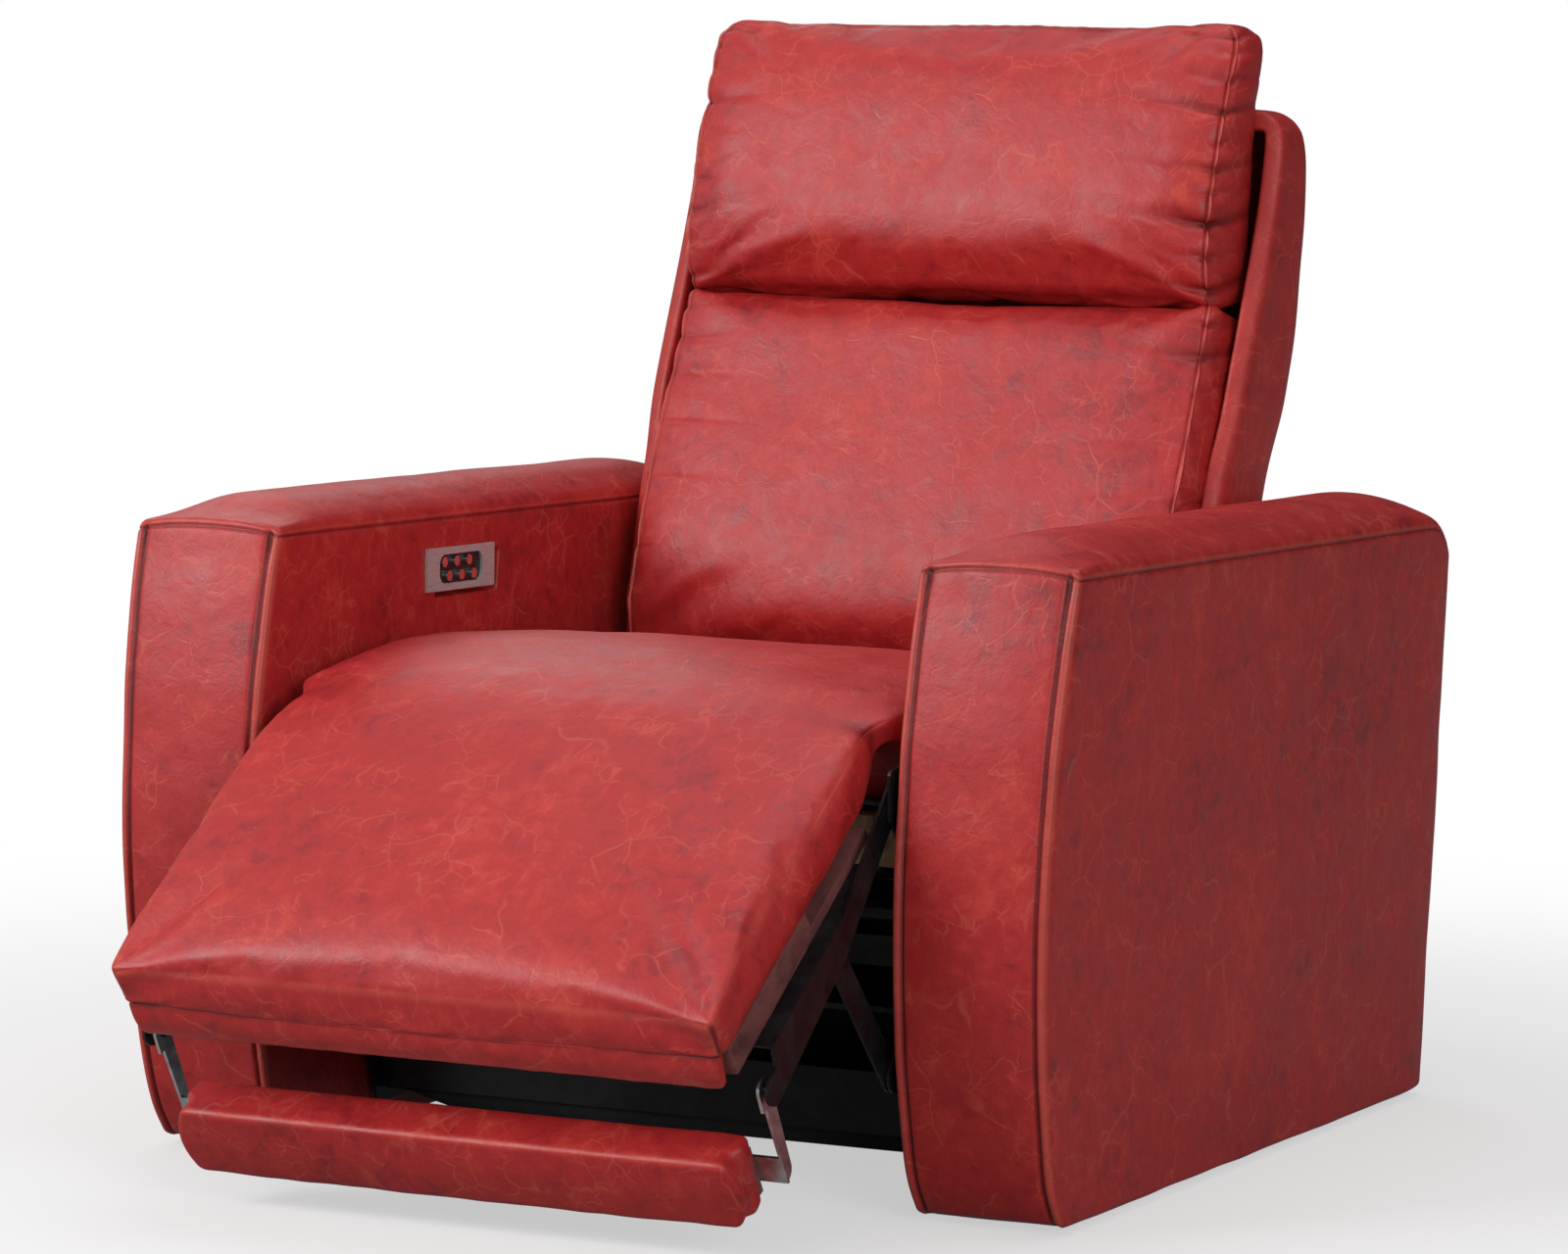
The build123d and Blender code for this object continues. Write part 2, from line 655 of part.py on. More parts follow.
spacers = []
for y, z in spread(spacer_shares, 0.0, 0.0, side_plate_length, side_plate_top):
    sleeve = pin(plate_outer_x + butt_gap, arm_inner_x + arm_inner_taper, y, z, spacer_radius)
    sleeve = sleeve - arm_bar(-butt_gap)
    spacers += [sleeve, mirror(sleeve, about=Plane.YZ)]
shapes["arm_mount_spacers"] = Compound(children=spacers)


def hollow_beam(y_from, z_from, height):
    half = plate_inner_x - butt_gap
    outer = block(-half, half, y_from, y_from + beam_size, z_from, z_from + height)
    inner = block(-half - overrun, half + overrun, y_from + beam_wall, y_from + beam_size - beam_wall,
                  z_from + beam_wall, z_from + height - beam_wall)
    return outer - inner


shapes["front_base_beam"] = hollow_beam(front_beam_y, beam_low, beam_height)
shapes["rear_base_beam"] = hollow_beam(rear_beam_y, beam_low, beam_height)
cross_beam_top = drive_z - motor_height / 2 - butt_gap
legs_z = cross_beam_top - beam_size
shapes["actuator_beam"] = hollow_beam(cross_beam_y, legs_z, beam_size)

# Seat box, springs and cushion
rail_top = seat_base - seat_crown - soft_gap
rail_low = rail_top - rail_height
rail_rear = seat_rear
inner_span = seat_rail_inner_span
for side_name, side in sides:
    rail = block(inner_span, seat_rail_half_span, rail_front, rail_rear, rail_low, rail_top)
    mirrored(side_name + "_seat_rail", rail, side)
for rail_name, y_from in (("front_seat_rail", rail_front), ("rear_seat_rail", rail_rear - rail_thickness)):
    shapes[rail_name] = block(-inner_span + butt_gap, inner_span - butt_gap, y_from,
                              y_from + rail_thickness, rail_low, rail_top)
tab_z = (rail_low + rail_top) / 2
tabs = []
for _, side in sides:
    for share in mount_tab_y_shares:
        y = rail_front + share * (rail_rear - rail_front)
        tabs.append(block(side * (seat_rail_half_span + butt_gap), side * (plate_inner_x - butt_gap),
                          y - mount_tab_length / 2, y + mount_tab_length / 2,
                          tab_z - mount_tab_height / 2, tab_z + mount_tab_height / 2))
shapes["seat_mount_tabs"] = Compound(children=tabs)


def zigzag(length, swing, waves):
    # flat sinuous spring along +Y from the origin
    step = length / waves
    points = [(0, 0)]
    for i in range(waves):
        x = swing * (1 if i % 2 else -1)
        points += [(x, step * (i + spring_bend_share)), (x, step * (i + 1 - spring_bend_share))]
    points.append((0, length))
    flat = trace(Polyline(*points), line_width=spring_wire)
    return extrude(flat, amount=spring_wire)


spring_from = rail_front + rail_thickness + spring_wire / 2 + butt_gap
spring_span = rail_rear - rail_thickness - spring_wire - spring_from
seat_springs = []
for i in range(spring_count):
    x = (i - (spring_count - 1) / 2) * spring_pitch
    seat_springs.append(Pos(x, spring_from, rail_top - spring_wire * 2)
                        * zigzag(spring_span, spring_swing, spring_waves))
shapes["seat_springs"] = Compound(children=seat_springs)
seat_outline = spread(seat_shares, seat_front, seat_base, seat_depth, seat_height)
shapes["seat_cushion"] = soft_form(seat_outline, seat_half_width, seat_crown, seat_pull, seat_edge_radius)

# Flipper
pitch = math.radians(flipper_pitch)


def flipper_point(along_length, out):
    # out is towards the face that looks forward and a little down
    forward = flipper_forward + along_length * math.sin(pitch) + out * math.cos(pitch)
    height = flipper_z + along_length * math.cos(pitch) - out * math.sin(pitch)
    return (-forward, height)


def flipper_box(low, high, out_low, out_high):
    return [flipper_point(low, out_low), flipper_point(low, out_high),
            flipper_point(high, out_high), flipper_point(high, out_low)]


half_length = flipper_length / 2
flip_depth = flipper_thickness + flipper_board_thickness
board_out = -flip_depth / 2
pad_out = board_out + flipper_board_thickness
shapes["flipper_board"] = side_slab(flipper_box(-half_length + flipper_round, half_length - flipper_round,
                                                board_out, pad_out - soft_gap - flipper_crown),
                                    -flipper_half_width + flipper_pull, flipper_half_width - flipper_pull)
shapes["flipper_pad"] = soft_form(flipper_box(-half_length, half_length, pad_out, flip_depth / 2),
                                  flipper_half_width, flipper_crown, flipper_pull, flipper_round)
for side_name, side in sides:
    hook = flipper_point(0, board_out - plate / 2 - butt_gap)
    arm = rounded_link([flip_point, hook], link_half_width * flipper_arm_share, flip_in, flip_out)
    beyond_board = flipper_box(-flipper_length, flipper_length, board_out - butt_gap, flipper_length)
    arm = arm - side_slab(beyond_board, flip_in - overrun, flip_out + overrun)
    arm = arm - pin(flip_in - overrun, flip_out + overrun, *flip_point, small_pin_radius + pin_gap)
    toe = flipper_box(-link_half_width, link_half_width, board_out - plate - butt_gap, board_out - butt_gap)
    toe = side_slab(toe, flip_out - bracket_foot_width * 2, flip_out)
    mirrored(side_name + "_flipper_bracket", arm + toe, side)

# Back: tube, rails, springs, cushions, shell
back_tube = pin(-bracket_in, bracket_in, *recline_point, recline_radius)
back_tube = back_tube + pin(-plate_outer_x - pin_head, plate_outer_x + pin_head, *recline_point, pin_radius)
lever_x2 = recline_drive_x + yoke_thickness / 2 + side_gap / 2
back_lever = rounded_link([recline_point, recline_pin], lever_width / 2,
                          lever_x2, lever_x2 + lever_thickness)
back_lever = back_lever + pin(lever_x2 - lever_thickness, lever_x2 + 2 * lever_thickness,
                              *recline_point, recline_radius + plate)
back_lever = back_lever + pin(recline_drive_x - yoke_thickness, lever_x2, *recline_pin, small_pin_radius)
shapes["recline_tube"] = back_tube + back_lever


def lean_quad(z_low, z_high, front, rear):
    return [(lean_y(z_low) + front, z_low), (lean_y(z_high) + front, z_high),
            (lean_y(z_high) + rear, z_high), (lean_y(z_low) + rear, z_low)]


rail_in = back_rail_inner_span
rail_outline = lean_quad(back_rail_low, back_rail_high, 0.0, back_rail_depth)
hanger_z = back_rail_low + back_cross_height
hanger_top = (lean_y(hanger_z) + back_rail_depth / 2, hanger_z)
for side_name, side in sides:
    rail = side_slab(rail_outline, rail_in, back_rail_half_span)
    mirrored(side_name + "_back_rail", rail, side)
    hanger = rounded_link([recline_point, hanger_top], back_rail_depth / 2, back_rail_half_span + butt_gap,
                          back_rail_half_span + butt_gap + plate)
    hanger = hanger - pin(rail_in, plate_outer_x, *recline_point, recline_radius + butt_gap / 2)
    mirrored(side_name + "_back_hanger", hanger, side)
for rail_name, z in (("lower_back_rail", back_low_rail_z),
                     ("upper_back_rail", back_rail_high - back_cross_height)):
    shapes[rail_name] = side_slab(lean_quad(z, z + back_cross_height, 0.0, back_rail_depth),
                                  -rail_in + butt_gap, rail_in - butt_gap)
spring_low = back_low_rail_z + back_cross_height
spring_high = back_rail_high - back_cross_height
spring_y = lean_y(spring_low + spring_wire) + back_rail_depth / 2
lean_length = (spring_high - spring_low) / math.cos(math.radians(lean)) - 2 * spring_wire
back_springs = []
for i in range(back_spring_count):
    x = (i - (back_spring_count - 1) / 2) * back_spring_pitch
    place = Plane(origin=(x, spring_y, spring_low + spring_wire * spring_rest_share), x_dir=(1, 0, 0),
                  z_dir=(0, -math.cos(math.radians(lean)), math.sin(math.radians(lean))))
    back_springs.append(place * zigzag(lean_length, spring_swing, spring_waves // 2))
shapes["back_springs"] = Compound(children=back_springs)

lumbar_outline = spread(lumbar_shares, lumbar_front, lumbar_base, lumbar_depth, lumbar_height)
shapes["lumbar_cushion"] = soft_form(lumbar_outline, back_half_width, lumbar_crown, lumbar_pull,
                                     lumbar_edge_radius)
head_outline = spread(head_shares, head_front, head_base, head_depth, head_height)
head_cushion = soft_form(head_outline, head_half_width, head_crown, head_pull, head_edge_radius)
head_pivot = (head_hinge_y, head_hinge_z)
for _, side in sides:
    head_cushion = head_cushion - block(side * head_arm_x - head_slot_width / 2,
                                        side * head_arm_x + head_slot_width / 2,
                                        head_hinge_y - pin_head_radius, head_front + head_depth + overrun,
                                        head_base - overrun, head_hinge_z + pin_head_radius)
shapes["head_cushion"] = head_cushion
board_front = head_front + head_board_depth_share * head_depth
shapes["head_board"] = block(-head_board_half_width, head_board_half_width, board_front,
                             board_front + head_board_thickness, head_board_low, head_board_high)
arm_end = (board_front + head_board_thickness / 2, head_board_low - butt_gap - head_arm_radius)
mount_foot = (lean_y(back_rail_high) + back_rail_depth * head_mount_share,
              back_rail_high + butt_gap + head_arm_radius)
head_arms, head_mounts = [], []
for _, side in sides:
    x = side * head_arm_x
    arm = rounded_link([head_pivot, arm_end], head_arm_radius, x, x + side * plate)
    arm = arm + pin(x - side * (2 * plate + side_gap), x, *head_pivot, small_pin_radius)
    head_arms.append(arm)
    mount = rounded_link([mount_foot, (mount_foot[0], head_hinge_z - head_mount_drop), head_pivot],
                         head_arm_radius, x - side * (plate + side_gap), x - side * side_gap)
    head_mounts.append(mount - pin(x - side * overrun, x + side * overrun, *head_pivot,
                                   small_pin_radius + pin_gap))
shapes["headrest_arms"] = Compound(children=head_arms)
shapes["headrest_mounts"] = Compound(children=head_mounts)

shell_outline = spread(shell_shares, shell_front, shell_base, shell_depth, shell_height)
shell = side_slab(shell_outline, -shell_half_width, shell_half_width, shell_round)
roof_z = shell_base + shell_height * shell_roof_share
foot_z = shell_base + shell_height * shell_foot_share
inner = [(y - shell_rear_wall if y > shell_front + shell_depth * shell_rear_share else y - overrun * 3,
          z - (shell_side if z > roof_z else 0)) for y, z in shell_outline]
inner = [(y, z if z > foot_z else z - overrun * 3) for y, z in inner]
shell = shell - side_slab(inner, -shell_half_width + shell_side, shell_half_width - shell_side)
mouth = block(-shell_half_width + shell_side, shell_half_width - shell_side, shell_front,
              shell_front + shell_depth * shell_lip_share, roof_z, shell_base + shell_height + overrun)
shapes["back_shell"] = shell - mouth

# Control plate and its six buttons on the left arm
face_x = -arm_inner_x
place = Pos(face_x, plate_y, plate_z) * Rot(plate_tilt, 0, 0)
bezel = Pos(bezel_thickness / 2 + butt_gap, 0, 0) * Box(bezel_thickness, plate_length, plate_height)
opening = Plane.YZ * RectangleRounded(bezel_opening_length, bezel_opening_height, bezel_opening_round)
bezel = bezel - extrude(opening, amount=overrun, both=True)
shapes["control_bezel"] = place * bezel
housing = Pos(-housing_depth / 2, 0, 0) * Box(
    housing_depth, plate_length - 2 * bezel_rim - 2 * butt_gap, plate_height - 2 * bezel_rim - 2 * butt_gap)
spots = [(column, row) for row in (0, 1) for column in (0, 1, 2)]
for column, row in spots:
    y = (column - 1) * button_pitch + (upper_row_shift if row else lower_row_shift)
    z = (row - 0.5) * button_row_pitch
    well = Pos(bezel_thickness / 2 - button_height, y, z) * Rot(0, 90, 0) * Cylinder(
        button_radius + button_gap, 2 * button_height)
    housing = housing - well
    button = Pos(bezel_thickness / 2 + button_proud - button_height / 2, y, z) * Rot(0, 90, 0) * Cylinder(
        button_radius, button_height)
    shapes["button_%d" % (1 + column + 3 * row)] = place * button
shapes["control_housing"] = place * housing

for old in os.listdir("parts"):
    os.remove(os.path.join("parts", old))
for name, shape in shapes.items():
    export_step(Pos(0, frame_shift_y, 0) * shape, "parts/" + name + ".step")
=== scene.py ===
import math

import bmesh
import bpy
import numpy as np
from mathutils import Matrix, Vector, noise


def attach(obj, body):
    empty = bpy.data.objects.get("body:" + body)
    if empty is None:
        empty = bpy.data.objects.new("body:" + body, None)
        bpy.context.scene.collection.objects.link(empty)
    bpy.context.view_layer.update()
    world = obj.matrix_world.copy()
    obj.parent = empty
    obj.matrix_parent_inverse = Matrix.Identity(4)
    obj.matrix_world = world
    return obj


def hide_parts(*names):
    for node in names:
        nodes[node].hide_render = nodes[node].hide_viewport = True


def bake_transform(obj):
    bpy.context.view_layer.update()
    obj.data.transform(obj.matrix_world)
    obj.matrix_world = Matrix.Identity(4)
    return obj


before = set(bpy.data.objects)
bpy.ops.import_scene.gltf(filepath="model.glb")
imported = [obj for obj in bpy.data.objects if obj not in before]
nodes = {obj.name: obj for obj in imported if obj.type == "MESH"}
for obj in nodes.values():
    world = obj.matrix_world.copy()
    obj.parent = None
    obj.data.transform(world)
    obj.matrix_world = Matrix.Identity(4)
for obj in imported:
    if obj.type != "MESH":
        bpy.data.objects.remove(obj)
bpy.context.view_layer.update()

# The chair stands on z = 0 and faces -Y, metres.
bpy.ops.object.select_all(action="DESELECT")
scene = bpy.context.scene
scene.view_settings.view_transform = "Standard"

# Depths below are counted from the front of the arms, and this brings them into the frame
front_of_arms = -0.320064


# Camera and light
def look_at(thing, target):
    aim = Vector(target) - thing.location
    thing.rotation_euler = aim.to_track_quat("-Z", "Y").to_euler()


bpy.ops.object.camera_add(location=(3.132, -5.688, 1.235))
camera = bpy.context.object
camera.name = "studio_camera"
look_at(camera, (-0.0166, 0.1347, 0.4911))
camera.data.sensor_width = 36.0
camera.data.lens = 155.2
scene.camera = camera


def soft_box(name, place, target, width, height, power, tint=(1.0, 1.0, 1.0)):
    bpy.ops.object.light_add(type="AREA", location=place)
    lamp = bpy.context.object
    lamp.name = name
    look_at(lamp, target)
    lamp.data.shape = "RECTANGLE"
    lamp.data.size = width
    lamp.data.size_y = height
    lamp.data.energy = power
    lamp.data.color = tint
    return lamp


soft_box("window_side_light", (-2.6, -3.4, 2.7), (0.0, 0.0, 0.45), 2.4, 2.0, 136)
soft_box("ceiling_light", (0.1, 0.3, 3.6), (0.0, 0.1, 0.4), 2.6, 2.2, 28)
soft_box("camera_side_fill", (3.6, -3.2, 1.7), (0.0, 0.0, 0.45), 2.0, 2.0, 76)
soft_box("rear_rim_light", (-2.2, 2.6, 2.4), (0.0, 0.2, 0.7), 1.6, 1.6, 12)


# Node materials
def new_shader(name):
    material = bpy.data.materials.new(name)
    material.use_nodes = True
    tree = material.node_tree
    tree.nodes.clear()
    out = tree.nodes.new("ShaderNodeOutputMaterial")
    skin = tree.nodes.new("ShaderNodeBsdfPrincipled")
    tree.links.new(skin.outputs[0], out.inputs[0])
    return material, tree, skin


def put(tree, kind, settings=None, **wires):
    part = tree.nodes.new("ShaderNode" + kind)
    for key, value in (settings or {}).items():
        setattr(part, key, value)
    for key, value in wires.items():
        socket = part.inputs[int(key[1:])] if key[0] == "_" else part.inputs[key.replace("__", " ")]
        if isinstance(value, bpy.types.NodeSocket):
            tree.links.new(value, socket)
        else:
            socket.default_value = value
    return part


def ramp(tree, source, stops, ease="LINEAR"):
    part = put(tree, "ValToRGB", _0=source)
    part.color_ramp.interpolation = ease
    while len(part.color_ramp.elements) < len(stops):
        part.color_ramp.elements.new(0.5)
    for element, (place, colour) in zip(part.color_ramp.elements, stops):
        element.position = place
        element.color = (*colour, 1.0) if len(colour) == 3 else colour
    return part.outputs[0]


def grey(value):
    return (value, value, value)


def mix_colour(tree, amount, first, second, kind="MIX"):
    part = put(tree, "Mix", {"data_type": "RGBA", "blend_type": kind})
    for socket, value in ((part.inputs[0], amount), (part.inputs[6], first), (part.inputs[7], second)):
        if isinstance(value, bpy.types.NodeSocket):
            tree.links.new(value, socket)
        else:
            socket.default_value = value if isinstance(value, float) else (*value, 1.0)
    return part.outputs[2]


def maths(tree, kind, first, second=0.0, third=0.0, clamp=False):
    part = put(tree, "Math", {"operation": kind, "use_clamp": clamp}, _0=first, _1=second)
    if kind in ("MULTIPLY_ADD",):
        if isinstance(third, bpy.types.NodeSocket):
            tree.links.new(third, part.inputs[2])
        else:
            part.inputs[2].default_value = third
    return part.outputs[0]


def cloud(tree, at, scale, detail=4.0, rough=0.55, twist=0.0):
    return put(tree, "TexNoise", Vector=at, Scale=scale, Detail=detail, Roughness=rough,
               Distortion=twist).outputs[0]


def stretched(tree, at, scale):
    return put(tree, "Mapping", Vector=at, Scale=scale).outputs[0]


def wandering(tree, at, scale, amount):
    # the place on the surface, shifted about by a noise, so that a pattern of cells runs crooked
    shift = put(tree, "TexNoise", Vector=at, Scale=scale, Detail=3.0, Roughness=0.6).outputs[1]
    shift = put(tree, "VectorMath", {"operation": "SUBTRACT"}, _0=shift, _1=(0.5, 0.5, 0.5)).outputs[0]
    shift = put(tree, "VectorMath", {"operation": "SCALE"}, _0=shift, Scale=amount).outputs[0]
    return put(tree, "VectorMath", {"operation": "ADD"}, _0=at, _1=shift).outputs[0]


def crack_lines(tree, at, scale, width):
    cells = put(tree, "TexVoronoi", {"feature": "DISTANCE_TO_EDGE"}, Vector=at, Scale=scale, Randomness=1.0)
    return ramp(tree, cells.outputs[0], ((0.0, grey(1.0)), (width, grey(0.0))), "EASE")


def hide_leather(name, deep, middle, warm, vein, shine=0.43):
    material, tree, skin = new_shader(name)
    at = put(tree, "TexCoord").outputs["Object"]
    drift = cloud(tree, at, 4.2, 3.0, 0.5)
    mottle = cloud(tree, at, 22.0, 7.0, 0.66, 0.8)
    smudge = cloud(tree, at, 58.0, 5.0, 0.66, 0.5)
    tone = maths(tree, "MULTIPLY_ADD", mottle, 0.60, maths(tree, "MULTIPLY", drift, 0.40))
    tone = maths(tree, "MULTIPLY_ADD", smudge, 0.36, maths(tree, "MULTIPLY", tone, 0.64))
    colour = ramp(tree, tone, ((0.37, deep), (0.50, middle), (0.63, warm)), "EASE")
    crooked = wandering(tree, at, 7.0, 0.10)
    long_veins = crack_lines(tree, crooked, 15.0, 0.030)
    mask = ramp(tree, cloud(tree, at, 13.0, 4.0, 0.7), ((0.47, grey(0.0)), (0.62, grey(1.0))), "EASE")
    long_veins = maths(tree, "MULTIPLY", long_veins, mask)
    fine_veins = crack_lines(tree, wandering(tree, at, 18.0, 0.04), 38.0, 0.055)
    mask = ramp(tree, cloud(tree, at, 22.0, 3.0), ((0.48, grey(0.0)), (0.62, grey(1.0))), "EASE")
    fine_veins = maths(tree, "MULTIPLY", fine_veins, mask)
    veins = maths(tree, "MAXIMUM", maths(tree, "MULTIPLY", long_veins, 0.36),
                  maths(tree, "MULTIPLY", fine_veins, 0.30))
    scuff = ramp(tree, cloud(tree, stretched(tree, wandering(tree, at, 6.0, 0.2), (1.0, 1.0, 0.6)), 60.0, 4.0, 0.7),
                 ((0.56, grey(0.0)), (0.74, grey(1.0))), "EASE")
    light = maths(tree, "MAXIMUM", veins, maths(tree, "MULTIPLY", scuff, 0.11), clamp=True)
    colour = mix_colour(tree, light, colour, vein)
    painted_shade = put(tree, "Attribute", {"attribute_name": "painted_shade"}).outputs["Fac"]
    rub = put(tree, "Attribute", {"attribute_name": "rub"}).outputs["Fac"]
    colour = mix_colour(tree, maths(tree, "MULTIPLY", rub, 0.55, clamp=True), colour, vein)
    # painted shade: the mark read here darkens the hide towards near black in grooves, creases and gathers, along sunk
    # seams, and on undersides and backs turned away from the lamps
    colour = mix_colour(tree, maths(tree, "MULTIPLY", painted_shade, 0.85, clamp=True), colour,
                        tuple(value * 0.22 for value in deep))
    tree.links.new(colour, skin.inputs["Base Color"])
    gloss = ramp(tree, mottle, ((0.3, grey(shine - 0.06)), (0.7, grey(shine + 0.10))))
    tree.links.new(gloss, skin.inputs["Roughness"])
    skin.inputs["Specular IOR Level"].default_value = 0.42
    pores = put(tree, "TexVoronoi", {"feature": "SMOOTH_F1"}, Vector=at, Scale=620.0, Smoothness=0.6)
    grain = maths(tree, "MULTIPLY_ADD", pores.outputs[0], 0.5, cloud(tree, at, 260.0, 3.0))
    bump = put(tree, "Bump", Strength=0.22, Distance=0.0006, Height=grain)
    soft = maths(tree, "MULTIPLY_ADD", veins, -0.35, cloud(tree, at, 38.0, 5.0, 0.6, 0.5))
    bump = put(tree, "Bump", Strength=0.30, Distance=0.0035, Height=soft, Normal=bump.outputs[0])
    tree.links.new(bump.outputs[0], skin.inputs["Normal"])
    return material


leather = hide_leather("red_hide", (0.290, 0.014, 0.018), (0.435, 0.021, 0.021), (0.530, 0.038, 0.029),
                       (0.640, 0.125, 0.080))


def enamelled_steel():
    material, tree, skin = new_shader("black_enamel")
    at = put(tree, "TexCoord").outputs["Object"]
    dust = ramp(tree, cloud(tree, at, 30.0, 6.0, 0.65), ((0.42, (0.006, 0.006, 0.007)), (0.72, (0.020, 0.019, 0.019))))
    tree.links.new(dust, skin.inputs["Base Color"])
    wear = ramp(tree, cloud(tree, at, 90.0, 4.0), ((0.3, grey(0.26)), (0.7, grey(0.44))))
    tree.links.new(wear, skin.inputs["Roughness"])
    skin.inputs["Specular IOR Level"].default_value = 0.30
    bump = put(tree, "Bump", Strength=0.15, Distance=0.0004, Height=cloud(tree, at, 420.0, 2.0))
    tree.links.new(bump.outputs[0], skin.inputs["Normal"])
    return material


def plated_metal(name, low, high, rough, streak=(1.0, 1.0, 1.0), scale=60.0, metal=1.0):
    material, tree, skin = new_shader(name)
    at = put(tree, "TexCoord").outputs["Object"]
    lines = cloud(tree, stretched(tree, at, streak), scale, 5.0, 0.6)
    tree.links.new(ramp(tree, lines, ((0.35, low), (0.65, high))), skin.inputs["Base Color"])
    tree.links.new(ramp(tree, lines, ((0.3, grey(rough - 0.07)), (0.7, grey(rough + 0.10)))),
                   skin.inputs["Roughness"])
    skin.inputs["Metallic"].default_value = metal
    bump = put(tree, "Bump", Strength=0.12, Distance=0.0003, Height=lines)
    tree.links.new(bump.outputs[0], skin.inputs["Normal"])
    return material


def moulded_plastic(name, low, high, rough):
    material, tree, skin = new_shader(name)
    at = put(tree, "TexCoord").outputs["Object"]
    tree.links.new(ramp(tree, cloud(tree, at, 45.0, 4.0), ((0.35, low), (0.65, high))), skin.inputs["Base Color"])
    tree.links.new(ramp(tree, cloud(tree, at, 130.0, 3.0), ((0.3, grey(rough - 0.05)), (0.7, grey(rough + 0.08)))),
                   skin.inputs["Roughness"])
    bump = put(tree, "Bump", Strength=0.2, Distance=0.0002, Height=cloud(tree, at, 1500.0, 2.0))
    tree.links.new(bump.outputs[0], skin.inputs["Normal"])
    return material


def sawn_wood():
    material, tree, skin = new_shader("sawn_pine")
    at = put(tree, "TexCoord").outputs["Object"]
    rings = cloud(tree, stretched(tree, at, (14.0, 1.2, 9.0)), 6.0, 6.0, 0.6, 1.2)
    tree.links.new(ramp(tree, rings, ((0.35, (0.30, 0.17, 0.075)), (0.5, (0.50, 0.33, 0.17)), (0.65, (0.60, 0.43, 0.25)))),
                   skin.inputs["Base Color"])
    tree.links.new(ramp(tree, rings, ((0.3, grey(0.62)), (0.7, grey(0.78)))), skin.inputs["Roughness"])
    bump = put(tree, "Bump", Strength=0.3, Distance=0.0006, Height=rings)
    tree.links.new(bump.outputs[0], skin.inputs["Normal"])
    return material


def backing_cloth(name, low, high):
    material, tree, skin = new_shader(name)
    at = put(tree, "TexCoord").outputs["Object"]
    weft = put(tree, "TexWave", {"bands_direction": "X"}, Vector=at, Scale=240.0, Distortion=1.5, Detail=2.0)
    warp = put(tree, "TexWave", {"bands_direction": "Y"}, Vector=at, Scale=240.0, Distortion=1.5, Detail=2.0)
    weave = maths(tree, "MULTIPLY", weft.outputs[1], warp.outputs[1])
    worn = maths(tree, "MULTIPLY_ADD", weave, 0.25, cloud(tree, at, 14.0, 6.0, 0.65))
    tree.links.new(ramp(tree, worn, ((0.42, low), (0.72, high))), skin.inputs["Base Color"])
    tree.links.new(ramp(tree, weave, ((0.0, grey(0.92)), (1.0, grey(0.78)))), skin.inputs["Roughness"])
    bump = put(tree, "Bump", Strength=0.35, Distance=0.0005, Height=weave)
    tree.links.new(bump.outputs[0], skin.inputs["Normal"])
    return material


black_enamel = enamelled_steel()
zinc_plate = plated_metal("bright_zinc", (0.46, 0.47, 0.48), (0.72, 0.72, 0.70), 0.34)
spring_wire = plated_metal("oiled_spring_wire", (0.10, 0.10, 0.105), (0.20, 0.20, 0.205), 0.42)
nickel = plated_metal("brushed_nickel", (0.46, 0.465, 0.47), (0.60, 0.605, 0.61), 0.36, (1.0, 0.06, 1.0), 900.0, 0.4)
button_metal = plated_metal("button_chrome", (0.70, 0.70, 0.71), (0.84, 0.84, 0.84), 0.16)
motor_plastic = moulded_plastic("motor_housing_plastic", (0.018, 0.018, 0.019), (0.040, 0.040, 0.042), 0.48)
panel_plastic = moulded_plastic("panel_black_plastic", (0.010, 0.010, 0.011), (0.020, 0.020, 0.022), 0.30)
glide_plastic = moulded_plastic("glide_black_plastic", (0.014, 0.014, 0.014), (0.030, 0.030, 0.030), 0.55)
pine = sawn_wood()
board_cloth = backing_cloth("dusty_red_board_cloth", (0.085, 0.018, 0.017), (0.240, 0.075, 0.066))
# painted shade: near-black cloth for the sheet under the chair, which stands in for the shade there
shade_black_cloth = backing_cloth("shade_black_cloth", (0.006, 0.006, 0.0065), (0.016, 0.016, 0.017))

finish_of_node = {
    "sawn wood": (pine, ("left_arm_boards", "right_arm_boards", "arm_spacer_blocks", "left_seat_rail",
                         "right_seat_rail", "front_seat_rail", "rear_seat_rail", "left_back_rail",
                         "right_back_rail", "lower_back_rail", "upper_back_rail", "head_board")),
    "board cloth": (board_cloth, ("footrest_board", "flipper_board")),
    "enamel": (black_enamel, ("left_side_plate", "right_side_plate", "front_base_beam", "rear_base_beam",
                              "actuator_beam", "arm_mount_spacers", "left_footrest_bracket",
                              "right_footrest_bracket", "torque_tube", "left_crank", "right_crank", "left_footrest_link",
                              "right_footrest_link", "recline_tube", "left_back_hanger", "right_back_hanger",
                              "headrest_mounts", "headrest_arms")),
    "zinc": (zinc_plate, ("seat_mount_tabs", "footrest_push_rod", "recline_push_rod", "left_flipper_bracket",
                          "right_flipper_bracket")),
    "spring": (spring_wire, ("seat_springs", "back_springs")),
    "motor": (motor_plastic, ("footrest_actuator", "recline_actuator")),
    "panel": (panel_plastic, ("control_housing",)),
    "glide": (glide_plastic, ("floor_glides",)),
    "nickel": (nickel, ("control_bezel",)),
    "button": (button_metal, ("button_1", "button_2", "button_3", "button_4", "button_5", "button_6")),
}
for material, members in finish_of_node.values():
    for member in members:
        mesh = nodes[member].data
        mesh.materials.clear()
        mesh.materials.append(material)


